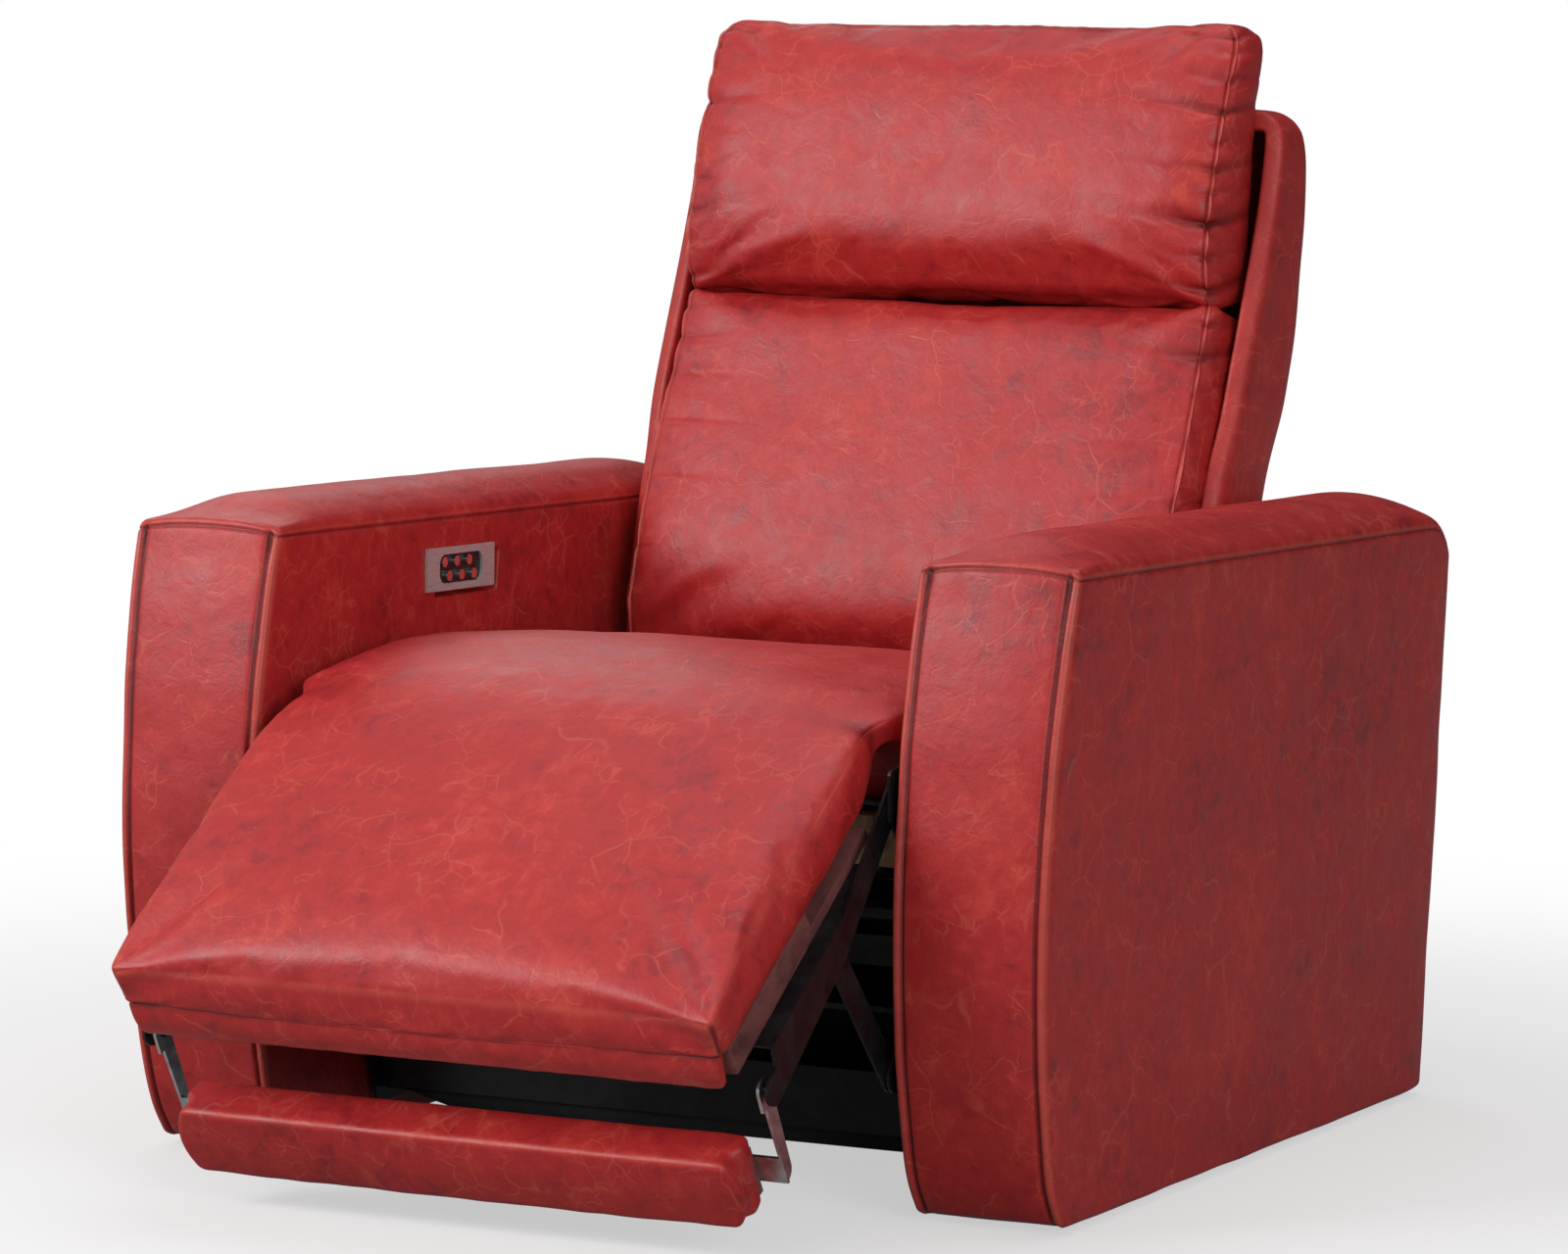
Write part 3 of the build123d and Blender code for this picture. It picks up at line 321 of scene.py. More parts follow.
# Upholstery made from gridded blocks
def stations(length, step, sewn=(), rim=0.02):
    # places of the cuts along one side, close together at the sewn lines and at both ends
    close = [0.0, length]
    close += [rim * share for share in (0.10, 0.28, 0.52, 0.78)]
    close += [length - rim * share for share in (0.10, 0.28, 0.52, 0.78)]
    for line in sewn:
        close += [line + away for away in (-0.0060, -0.0034, -0.0016, 0.0, 0.0016, 0.0034, 0.0060)]
    count = max(1, round(length / step))
    kept = sorted(close)
    kept = [place for i, place in enumerate(kept) if i == 0 or place - kept[i - 1] > 0.0006]
    even = [i * length / count for i in range(1, count)]
    even = [place for place in even if min(abs(place - other) for other in kept) > 0.45 * step]
    return np.array(sorted(kept + even)) / length


def gridded_block(name, across, deep, high):
    bpy.ops.object.select_all(action="DESELECT")
    bpy.ops.mesh.primitive_cube_add(size=1.0, location=(0.5, 0.5, 0.5))
    block = bpy.context.object
    block.name = name
    block.data.name = name
    bpy.ops.object.transform_apply(location=True, rotation=True, scale=True)
    bpy.ops.object.mode_set(mode="EDIT")
    bpy.ops.mesh.select_mode(type="EDGE")
    for axis, cuts in enumerate((across, deep, high)):
        grid = bmesh.from_edit_mesh(block.data)
        for edge in grid.edges:
            run = edge.verts[1].co - edge.verts[0].co
            edge.select = abs(run[axis]) > 0.5 * run.length
        bmesh.update_edit_mesh(block.data)
        bpy.ops.mesh.subdivide(number_cuts=len(cuts) - 2, smoothness=0.0, quadcorner="STRAIGHT_CUT")
    bpy.ops.object.mode_set(mode="OBJECT")
    share = points_of(block)
    for axis, cuts in enumerate((across, deep, high)):
        share[:, axis] = np.interp(share[:, axis], np.linspace(0.0, 1.0, len(cuts)), cuts)
    return block, share


def points_of(piece):
    flat = np.empty(len(piece.data.vertices) * 3)
    piece.data.vertices.foreach_get("co", flat)
    return flat.reshape(-1, 3)


def set_points(piece, points):
    piece.data.vertices.foreach_set("co", np.ascontiguousarray(points, dtype=float).ravel())
    piece.data.update()


def normals_of(piece):
    flat = np.empty(len(piece.data.vertices) * 3)
    piece.data.vertices.foreach_get("normal", flat)
    return flat.reshape(-1, 3)


def face_outwards(piece):
    bpy.ops.object.select_all(action="DESELECT")
    bpy.context.view_layer.objects.active = piece
    piece.select_set(True)
    bpy.ops.object.mode_set(mode="EDIT")
    bpy.ops.mesh.select_all(action="SELECT")
    bpy.ops.mesh.normals_make_consistent(inside=False)
    bpy.ops.object.mode_set(mode="OBJECT")


def rolled_edges(points, size, low, high):
    # points on a block's surface, with its edges rolled by the radii of its low and high sides
    size, low, high = (np.array(values, float) for values in (size, low, high))
    into_low = np.clip((low - points) / low, 0.0, 1.0)
    into_high = np.clip((points - (size - high)) / high, 0.0, 1.0)
    reach = into_high - into_low
    most = np.abs(reach).max(axis=1, keepdims=True)
    span = np.sqrt((reach ** 2).sum(axis=1, keepdims=True))
    reach = reach * np.divide(most, span, out=np.ones_like(most), where=span > 0)
    rolled = np.where(reach > 0, size - high + high * reach, np.where(reach < 0, low + low * reach, points))
    return rolled


def ease(value):
    value = np.clip(value, 0.0, 1.0)
    return value * value * (3.0 - 2.0 * value)


def dip(distance, width):
    return np.exp(-(distance / width) ** 2)


def drifting(points, scale, offset=0.0):
    # smooth noise between about -1 and 1
    return np.array([noise.noise(Vector((x * scale + offset, y * scale, z * scale))) for x, y, z in points])


def smooth_line(table, share):
    # a smooth curve through rows of numbers, the first of each is the share along it
    table = np.array(table, float)
    keys = table[:, 0]
    i = np.clip(np.searchsorted(keys, share, side="right") - 1, 0, len(keys) - 2)
    before, after = np.maximum(i - 1, 0), np.minimum(i + 2, len(keys) - 1)
    width = keys[i + 1] - keys[i]
    t = ((share - keys[i]) / width)[:, None]
    values = table[:, 1:]
    slope_in = (values[i + 1] - values[before]) / (keys[i + 1] - keys[before])[:, None]
    slope_out = (values[after] - values[i]) / (keys[after] - keys[i])[:, None]
    w = width[:, None]
    return ((2 * t ** 3 - 3 * t ** 2 + 1) * values[i] + (t ** 3 - 2 * t ** 2 + t) * w * slope_in
            + (3 * t ** 2 - 2 * t ** 3) * values[i + 1] + (t ** 3 - t ** 2) * w * slope_out)


def mark(piece, name, values):
    layer = piece.data.attributes.new(name, "FLOAT", "POINT")
    layer.data.foreach_set("value", np.clip(values, 0.0, 1.0).astype(np.float32))


def finish_hide(piece, levels=1, material=leather):
    face_outwards(piece)
    smoother = piece.modifiers.new("even_out", "SUBSURF")
    smoother.levels = levels
    smoother.render_levels = levels
    bpy.ops.object.modifier_apply(modifier=smoother.name)
    bpy.ops.object.shade_smooth()
    piece.data.materials.clear()
    piece.data.materials.append(material)


def fill_cover(piece, sewn, push, most, slack=0.0):
    # the cover swells against its sewn points and no point moves further than the most
    before = points_of(piece)
    group = piece.vertex_groups.new(name="sewn")
    group.add([int(i) for i in np.flatnonzero(sewn)], 1.0, "REPLACE")
    bpy.context.view_layer.objects.active = piece
    cover = piece.modifiers.new("stuffed_cover", "CLOTH")
    cover.settings.quality = 5
    cover.settings.use_pressure = True
    cover.settings.uniform_pressure_force = push
    cover.settings.vertex_group_mass = "sewn"
    cover.settings.shrink_min = -slack
    cover.settings.effector_weights.gravity = 0.0
    cover.collision_settings.use_collision = False
    for step in range(1, 21):
        scene.frame_set(step)
    bpy.ops.object.modifier_apply(modifier=cover.name)
    scene.frame_set(1)
    piece.vertex_groups.clear()
    moved = points_of(piece) - before
    far = np.sqrt((moved ** 2).sum(axis=1, keepdims=True))
    moved *= most * np.tanh(far / most) / np.maximum(far, 1e-9)
    set_points(piece, before + moved)


# Arms
arm_size = (0.1666, 0.910, 0.603)
welt_in = 0.0125
plate_low, plate_high = (0.3135, 0.5245), (0.4335, 0.5595)


def upholstered_arm(side):
    name = "left_arm_leather" if side < 0 else "right_arm_leather"
    top_line = arm_size[2] - 0.008
    deep_lines, high_lines = [], [top_line]
    if side < 0:
        deep_lines = [plate_low[0], plate_high[0]]
        high_lines += [plate_low[1] - 0.006, plate_high[1] - 0.002]
    across = stations(arm_size[0], 0.012, (welt_in, arm_size[0] - welt_in), 0.009)
    deep = stations(arm_size[1], 0.0165, deep_lines, 0.012)
    high = stations(arm_size[2], 0.0155, high_lines, 0.012)
    piece, share = gridded_block(name, across, deep, high)
    source = share * np.array(arm_size)
    rolled = rolled_edges(source, arm_size, (0.009, 0.009, 0.006), (0.009, 0.040, 0.012))
    u, v, t = (rolled / np.array(arm_size)).T
    seam = 0.609 - 0.024 * v - 0.030 * ease((v - 0.93) / 0.07) ** 2
    z = 0.006 + t * (seam - 0.006)
    crown = 0.027 * (1.0 - np.abs(2.0 * u - 1.0) ** 2.3) * ease((t - 0.94) / 0.06)
    crown = crown * (0.25 + 0.75 * ease(rolled[:, 1] / 0.10)) * (1.0 - 0.5 * ease((v - 0.88) / 0.12))
    bow = np.interp(z, (0.006, 0.012, 0.03, 0.06, 0.10, 0.16, 0.23, 0.295, 0.36, 0.45, 0.54, 0.60, 0.64),
                    (0.066, 0.053, 0.0385, 0.027, 0.0185, 0.008, 0.0015, 0.0, 0.0025, 0.0125, 0.0305, 0.046, 0.053))
    rear = 0.889 + 0.021 * np.clip(z / 0.558, 0.0, 1.0)
    y = bow + v * (rear - bow)
    inner = 0.3414 + (0.006 if side < 0 else -0.0055) * (1.0 - z / 0.609)
    outer = 0.508 - 0.0206 * (1.0 - z / 0.609)
    x = inner + u * (outer - inner)
    set_points(piece, np.column_stack((side * x, y + front_of_arms, z + crown)))
    face_outwards(piece)

    on_front = dip(source[:, 1], 0.0030)
    on_side = dip(np.minimum(source[:, 0], arm_size[0] - source[:, 0]), 0.0030)
    from_edge = np.minimum(source[:, 0], arm_size[0] - source[:, 0])
    below_top = 1.0 - ease((source[:, 2] - top_line) / 0.006)
    groove = on_front * dip(from_edge - welt_in, 0.0019) * below_top
    bead = on_front * dip(from_edge - 0.0045, 0.0045) * below_top
    top_seam = np.maximum(on_side, on_front) * dip(source[:, 2] - top_line, 0.0017) * (1.0 - groove)
    top_seam = top_seam * (source[:, 1] < arm_size[1] - 0.002)
    ripple = drifting(points_of(piece) * (1.0, 1.0, 0.3), 55.0, 3.0 * side)
    gather = np.maximum(on_side, on_front) * dip(source[:, 2] - top_line, 0.018) * np.clip(ripple, 0, 1)
    puff = on_front * 0.0045 * (1.0 - np.abs(2.0 * share[:, 0] - 1.0) ** 2.5) * np.clip(4 * share[:, 2], 0, 1)
    puff += on_side * 0.0025 * np.sin(np.pi * share[:, 1]) * np.sin(np.pi * share[:, 2])
    undulate = 0.0014 * drifting(points_of(piece), 7.0, 9.0 * side) + 0.0007 * drifting(points_of(piece), 19.0, 2.0)
    lift = puff + undulate + 0.0014 * bead - 0.0046 * groove - 0.0021 * top_seam - 0.0026 * gather
    corner = on_front * dip(from_edge - welt_in, 0.006) * dip(source[:, 2] - top_line + 0.010, 0.010)
    lift -= 0.0022 * corner
    normal = normals_of(piece)
    points = points_of(piece) + normal * lift[:, None]
    if side < 0:
        pocket = (source[:, 0] < 0.001) & (source[:, 1] > plate_low[0] - 0.0005) & (source[:, 1] < plate_high[0] + 0.0005)
        pocket &= (source[:, 2] > plate_low[1] - 0.0075) & (source[:, 2] < plate_high[1] - 0.0005)
        points[pocket, 0] -= 0.0115
    set_points(piece, points)
    # painted shade: darker in the welt grooves, along the top seam, in the front corners and in the gathers under the
    # top seam
    mark(piece, "painted_shade", groove * 1.1 + 0.75 * top_seam + 0.3 * corner + 0.35 * gather)
    mark(piece, "rub", 0.75 * bead + 0.35 * on_side * on_front + 0.5 * dip(source[:, 2] - top_line - 0.004, 0.002)
         * np.maximum(on_side, on_front))
    finish_hide(piece)
    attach(piece, "chair_base")
    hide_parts(name.replace("leather", "cover"), name.replace("leather", "front_panel"))
    return piece


left_arm = upholstered_arm(-1)
right_arm = upholstered_arm(1)

# Seat and legrest under one hide: share along it, then the sewn top edge and the underside at the sides
seat_length = 0.977
seat_top = ((0.0, 0.631, 0.424), (0.106, 0.50, 0.447), (0.210, 0.40, 0.464), (0.313, 0.30, 0.477), (0.416, 0.20, 0.482),
            (0.477, 0.14, 0.478), (0.550, 0.069, 0.4705), (0.585, 0.0359, 0.464), (0.617, 0.0052, 0.4540),
            (0.669, -0.040, 0.4290), (0.731, -0.0903, 0.3960), (0.792, -0.1394, 0.3620), (0.854, -0.1886, 0.3275),
            (0.915, -0.2359, 0.2915), (0.966, -0.2734, 0.2585), (1.0, -0.2952, 0.2350))
seat_under = ((0.0, 0.625, 0.375), (0.106, 0.50, 0.374), (0.210, 0.40, 0.374), (0.313, 0.30, 0.374), (0.416, 0.20, 0.374),
              (0.477, 0.128, 0.377), (0.550, 0.080, 0.428), (0.585, 0.046, 0.444), (0.617, 0.0215, 0.421),
              (0.669, -0.0089, 0.3890), (0.731, -0.0574, 0.3540), (0.792, -0.1059, 0.3190), (0.854, -0.1544, 0.2837),
              (0.915, -0.2030, 0.2484), (0.966, -0.2435, 0.2190), (1.0, -0.2715, 0.1985))
seat_size = (0.650, seat_length, 0.072)


def seat_and_legrest():
    across = stations(seat_size[0], 0.0095, (), 0.020)
    deep = stations(seat_size[1], 0.0095, (), 0.018)
    high = stations(seat_size[2], 0.010, (), 0.016)
    piece, share = gridded_block("seat_and_legrest_leather", across, deep, high)
    source = share * np.array(seat_size)
    rolled = rolled_edges(source, seat_size, (0.013, 0.024, 0.007), (0.013, 0.013, 0.020))
    u, v, t = (rolled / np.array(seat_size)).T
    top, under = smooth_line(seat_top, v), smooth_line(seat_under, v)
    half = np.interp(v, (0.0, 0.53, 0.572, 0.600, 0.630, 0.670, 0.75, 0.95, 1.0),
                     (0.329, 0.329, 0.322, 0.3085, 0.3115, 0.3165, 0.3185, 0.3185, 0.3165))
    middle = 1.0 - np.abs(2.0 * u - 1.0) ** 2.6
    yz = under + t[:, None] * (top - under)
    crown = 0.010 * middle * ease(t) * ease((1.0 - v) / 0.10) * ease(v / 0.15)
    sag = 0.006 * middle * (1.0 - t) * (v > 0.6)
    points = np.column_stack(((2.0 * u - 1.0) * half, yz[:, 0] + front_of_arms - 0.55 * crown * (v > 0.6),
                              yz[:, 1] + crown - sag))
    set_points(piece, points)
    face_outwards(piece)
    start = points_of(piece)
    on_nose = source[:, 1] > seat_length - 0.001
    low_side = source[:, 2] < 0.001
    edge = np.minimum(source[:, 0], seat_size[0] - source[:, 0])
    corner = on_nose & (edge < 0.0015)
    fill_cover(piece, low_side | corner, 2.4, 0.009, 0.002)
    points = points_of(piece)
    limit = half + 0.0045 * (v > 0.6)
    points[:, 0] = np.clip(points[:, 0], -limit, limit)
    set_points(piece, points)
    normal = normals_of(piece)
    on_top = source[:, 2] > seat_size[2] - 0.001
    on_side = edge < 0.001
    rise = source[:, 2] / seat_size[2]
    corner_seam = np.maximum(on_nose * dip(edge - 0.0, 0.0040), on_side * dip(seat_length - source[:, 1], 0.0040))
    corner_seam = corner_seam * (~low_side) * ease((0.93 - rise) / 0.15)
    pinch = dip(edge, 0.020) * dip(seat_length - source[:, 1], 0.024) * np.clip(rise, 0, 1)
    knee = dip(v - 0.603, 0.011) * (on_top * dip(edge, 0.055) + on_side)
    undulate = 0.0022 * drifting(start, 6.0, 4.0) + 0.0010 * drifting(start * (1.0, 1.0, 0.5), 17.0, 8.0)
    tension = np.clip(drifting(start * (1.0, 0.16, 0.16), 30.0, 7.0), 0, 1) * dip(v - 0.64, 0.06) * on_top * 0.0018
    creases = np.clip(drifting(start * (0.45, 1.0, 1.0), 46.0, 5.0), 0, 1) * on_nose * 0.0012
    side_folds = on_side * (v > 0.62) * 0.0016 * np.clip(drifting(start * (1.0, 0.5, 0.5), 34.0, 12.0), -0.3, 1)
    lift = (undulate * (~low_side) - 0.0034 * corner_seam - creases - tension - side_folds * (~low_side)
            + 0.0022 * pinch - 0.0035 * knee)
    set_points(piece, points + normal * lift[:, None])
    # painted shade: darker along the corner seams, across the knee fold and on the legrest's underside
    mark(piece, "painted_shade", 0.9 * corner_seam + 0.35 * knee + 0.25 * low_side * (v > 0.6))
    mark(piece, "rub", 0.45 * dip(rise - 0.86, 0.10) * on_nose * (1.0 - corner_seam)
         + 0.30 * (on_top | on_side) * (v > 0.62) * dip(edge + (1.0 - rise) * 0.07, 0.010)
         + 0.5 * dip(edge - 0.006, 0.0025) * on_nose)
    finish_hide(piece)
    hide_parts("seat_cushion", "footrest_pad")
    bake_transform(piece)
    return piece


def legrest_border():
    # the narrow strip sewn under the front edge of the legrest
    size = (0.614, 0.011, 0.038)
    piece, share = gridded_block("legrest_border_leather", stations(size[0], 0.0085, (), 0.012),
                                 stations(size[1], 0.004, (), 0.004), stations(size[2], 0.005, (), 0.007))
    source = share * np.array(size)
    rolled = rolled_edges(source, size, (0.006, 0.004, 0.005), (0.006, 0.004, 0.004))
    u, v, t = (rolled / np.array(size)).T
    foot, head_line = np.array((-0.2500, 0.1680)), np.array((-0.2700, 0.2010))
    back = np.array((0.0094, 0.0058))
    yz = foot + t[:, None] * (head_line - foot) + (1.0 - v)[:, None] * back
    half = 0.3105 - 0.006 * (1.0 - t)
    set_points(piece, np.column_stack(((2.0 * u - 1.0) * half, yz[:, 0] + front_of_arms, yz[:, 1])))
    face_outwards(piece)
    start = points_of(piece)
    on_front = source[:, 1] > size[1] - 0.001
    puff = on_front * 0.0035 * np.sin(np.pi * np.clip(t, 0, 1))
    waves = 0.0013 * drifting(start * (1.0, 1.0, 0.4), 30.0, 2.0) + 0.0010 * drifting(start * (1.0, 1.0, 0.3), 75.0, 5.0)
    set_points(piece, start + normals_of(piece) * (puff + waves)[:, None])
    # painted shade: darker along the top edge, where the strip is sewn in under the legrest
    mark(piece, "painted_shade", 0.8 * dip(source[:, 2] - size[2], 0.0035))
    mark(piece, "rub", 0.5 * dip(source[:, 2] - 0.004, 0.003) * on_front)
    finish_hide(piece)
    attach(piece, "footrest")
    return piece


seat = seat_and_legrest()
border = legrest_border()


# Lower legrest flap
def flap_point(along, out):
    pitch = math.radians(29.0)
    forward = 0.185 + along * math.sin(pitch) + out * math.cos(pitch)
    return -forward, 0.072 + along * math.cos(pitch) - out * math.sin(pitch)


def lower_flap():
    size = (0.600, 0.046, 0.0745)
    piece, share = gridded_block("flipper_leather", stations(size[0], 0.0075, (), 0.014),
                                 stations(size[1], 0.0065, (), 0.009), stations(size[2], 0.0065, (), 0.010))
    source = share * np.array(size)
    rolled = rolled_edges(source, size, (0.008, 0.004, 0.009), (0.008, 0.007, 0.0055))
    u, v, t = (rolled / np.array(size)).T
    along = -0.0370 + t * size[2]
    rear = -0.0190 - 0.0070 * t
    out = rear + v * (0.0222 - rear)
    y, z = flap_point(along, out)
    half = 0.2985 - 0.008 * (1.0 - v) - 0.012 * np.abs(2.0 * t - 1.0) ** 2 * (v > 0.5)
    set_points(piece, np.column_stack(((2.0 * u - 1.0) * half, y + front_of_arms, z)))
    face_outwards(piece)
    start = points_of(piece)
    back = source[:, 1] < 0.001
    normal = normals_of(piece)
    fill = (1.0 - np.abs(2.0 * share[:, 0] - 1.0) ** 4) * np.sin(np.pi * share[:, 2]) * (source[:, 1] > size[1] - 0.001)
    points = start + normal * (0.0035 * fill)[:, None]
    edge_seam = dip(source[:, 2] - size[2], 0.0030) * dip(source[:, 1] - size[1], 0.004)
    lift = (0.0012 * drifting(start, 14.0, 1.0) + 0.0009 * drifting(start * (1, 1, 0.4), 36.0, 6.0)) * ~back
    set_points(piece, points + normal * lift[:, None])
    # painted shade: the back face, turned away under the legrest, is darker
    mark(piece, "painted_shade", 0.30 * back)
    mark(piece, "rub", 0.9 * edge_seam * (0.5 + 0.5 * drifting(start, 9.0, 3.0)))
    finish_hide(piece)
    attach(piece, "flipper")
    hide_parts("flipper_pad")
    return piece


flap = lower_flap()

# Lumbar cushion
lumbar_front = ((0.0, 0.645, 0.431), (0.11, 0.637, 0.470), (0.27, 0.648, 0.530), (0.45, 0.676, 0.600),
                (0.62, 0.706, 0.665), (0.78, 0.734, 0.725), (0.90, 0.756, 0.773), (1.0, 0.771, 0.803))
lumbar_rear = ((0.0, 0.706, 0.431), (0.11, 0.722, 0.470), (0.27, 0.748, 0.530), (0.45, 0.779, 0.600),
               (0.62, 0.808, 0.665), (0.78, 0.834, 0.725), (0.90, 0.848, 0.758), (1.0, 0.856, 0.778))
head_front = ((0.0, 0.782, 0.7935), (0.07, 0.763, 0.804), (0.16, 0.756, 0.834), (0.30, 0.761, 0.880),
              (0.46, 0.774, 0.929), (0.62, 0.790, 0.977), (0.76, 0.808, 1.019), (0.89, 0.829, 1.059),
              (1.0, 0.846, 1.082))
head_rear = ((0.0, 0.852, 0.795), (0.07, 0.860, 0.811), (0.16, 0.866, 0.840), (0.30, 0.868, 0.880),
             (0.46, 0.868, 0.927), (0.62, 0.872, 0.974), (0.76, 0.880, 1.016), (0.89, 0.888, 1.056),
             (1.0, 0.888, 1.078))


def gathers(along, from_seam, folds):
    # short creases that run away from a gathered seam
    depth = np.zeros(len(along))
    for place, reach, deep, width in folds:
        slant = place + 0.12 * (from_seam if reach > 0 else -from_seam)
        depth += 1.35 * deep * dip(along - slant, 1.2 * width) * np.exp(-np.abs(from_seam) / (1.25 * abs(reach)))
    return depth


def back_cushion(name, size, front, rear, half_of, edge_roll, folds, push, most):
    seam_in = 0.0067
    across = stations(size[0], 0.0085, (seam_in, size[0] - seam_in), 0.016)
    piece, share = gridded_block(name, across, stations(size[1], 0.010, (), 0.018),
                                 stations(size[2], 0.0075, [place for place, *_ in folds], 0.016))
    source = share * np.array(size)
    rolled = rolled_edges(source, size, edge_roll[0], edge_roll[1])
    u, v, t = (rolled / np.array(size)).T
    yz = smooth_line(front, t) + v[:, None] * (smooth_line(rear, t) - smooth_line(front, t))
    points = np.column_stack(((2.0 * u - 1.0) * half_of(t, v), yz[:, 0] + front_of_arms, yz[:, 1]))
    set_points(piece, points)
    face_outwards(piece)
    start = points_of(piece)
    on_front = source[:, 1] < 0.001
    from_edge = np.minimum(source[:, 0], size[0] - source[:, 0])
    seam = on_front & (np.abs(from_edge - seam_in) < 0.0006)
    top_seam = (source[:, 2] > size[2] - 0.001) & (np.abs(from_edge - seam_in) < 0.0006)
    back = source[:, 1] > size[1] - 0.001
    fill_cover(piece, seam | back | top_seam, push, most, 0.012)
    normal = normals_of(piece)
    points = points_of(piece)
    groove = on_front * dip(from_edge - seam_in - 0.0010, 0.0018)
    welt = on_front * dip(from_edge - seam_in + 0.0016, 0.0017)
    round_edge = (on_front | (source[:, 0] < 0.001) | (source[:, 0] > size[0] - 0.001)) & ~back
    depth = gathers(source[:, 2], from_edge - seam_in + source[:, 1], folds) * round_edge
    depth *= np.where(source[:, 0] < 0.5 * size[0], 0.45, 1.1)
    depth *= 1.0 + 0.35 * drifting(start * (1.0, 0.2, 1.0), 16.0, 2.0)
    near_seam = np.exp(-np.abs(from_edge - seam_in + source[:, 1]) / 0.035) * round_edge
    depth -= 0.0035 * near_seam * np.clip(drifting(start * (0.3, 0.3, 1.0), 34.0, 6.0) + 0.25, 0.0, 1.0)
    undulate = 0.0026 * drifting(start, 6.5, 11.0) + 0.0011 * drifting(start * (1.0, 1.0, 0.6), 18.0, 3.0)
    lift = undulate * ~back - 0.0030 * groove + 0.0012 * welt - depth
    set_points(piece, points + normal * lift[:, None])
    # painted shade: darker in the groove beside the welt and in proportion to the depth of each gather
    mark(piece, "painted_shade", 0.35 * groove + 120.0 * depth)
    mark(piece, "rub", welt)
    finish_hide(piece)
    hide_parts(name.replace("leather", "cushion"))
    return piece


lumbar_folds = ((0.350, 0.020, 0.0035, 0.004), (0.318, 0.030, 0.0045, 0.005), (0.285, 0.014, 0.0020, 0.006),
                (0.235, 0.016, 0.0016, 0.007), (0.180, 0.014, 0.0012, 0.008), (0.115, 0.018, 0.0014, 0.009))
lumbar = back_cushion("lumbar_leather", (0.612, 0.088, 0.378), lumbar_front, lumbar_rear,
                      lambda t, v: 0.3035 + 0.004 * np.sin(np.pi * t), ((0.020, 0.015, 0.012), (0.020, 0.014, 0.010)),
                      lumbar_folds, 2.6, 0.010)
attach(lumbar, "backrest")
head_folds = ((0.028, 0.032, 0.0060, 0.0045), (0.058, 0.018, 0.0026, 0.004), (0.088, 0.040, 0.0062, 0.0040),
              (0.118, 0.018, 0.0026, 0.0045), (0.140, 0.030, 0.0036, 0.0040), (0.166, 0.016, 0.0020, 0.0045),
              (0.196, 0.044, 0.0066, 0.0040), (0.226, 0.024, 0.0034, 0.0040), (0.250, 0.020, 0.0028, 0.0045),
              (0.272, 0.030, 0.0040, 0.0050))
head = back_cushion("head_leather", (0.618, 0.095, 0.292), head_front, head_rear,
                    lambda t, v: 0.3065 - 0.034 * (1.0 - np.sqrt(1.0 - np.clip((t - 0.84) / 0.162, 0, 1) ** 2))
                    - 0.003 * (1 - t),
                    ((0.024, 0.030, 0.018), (0.024, 0.026, 0.030)), head_folds, 3.4, 0.0125)
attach(head, "headrest")

# Shell round the back
shell_front = ((0.0, 0.676, 0.374), (0.20, 0.690, 0.500), (0.37, 0.712, 0.602), (0.53, 0.752, 0.702),
               (0.69, 0.795, 0.802), (0.85, 0.835, 0.902), (1.0, 0.858, 0.993))
shell_rear = ((0.0, 0.773, 0.374), (0.13, 0.800, 0.450), (0.37, 0.857, 0.604), (0.60, 0.914, 0.750),
              (0.74, 0.929, 0.832), (0.86, 0.936, 0.905), (0.94, 0.931, 0.955), (1.0, 0.916, 0.990))


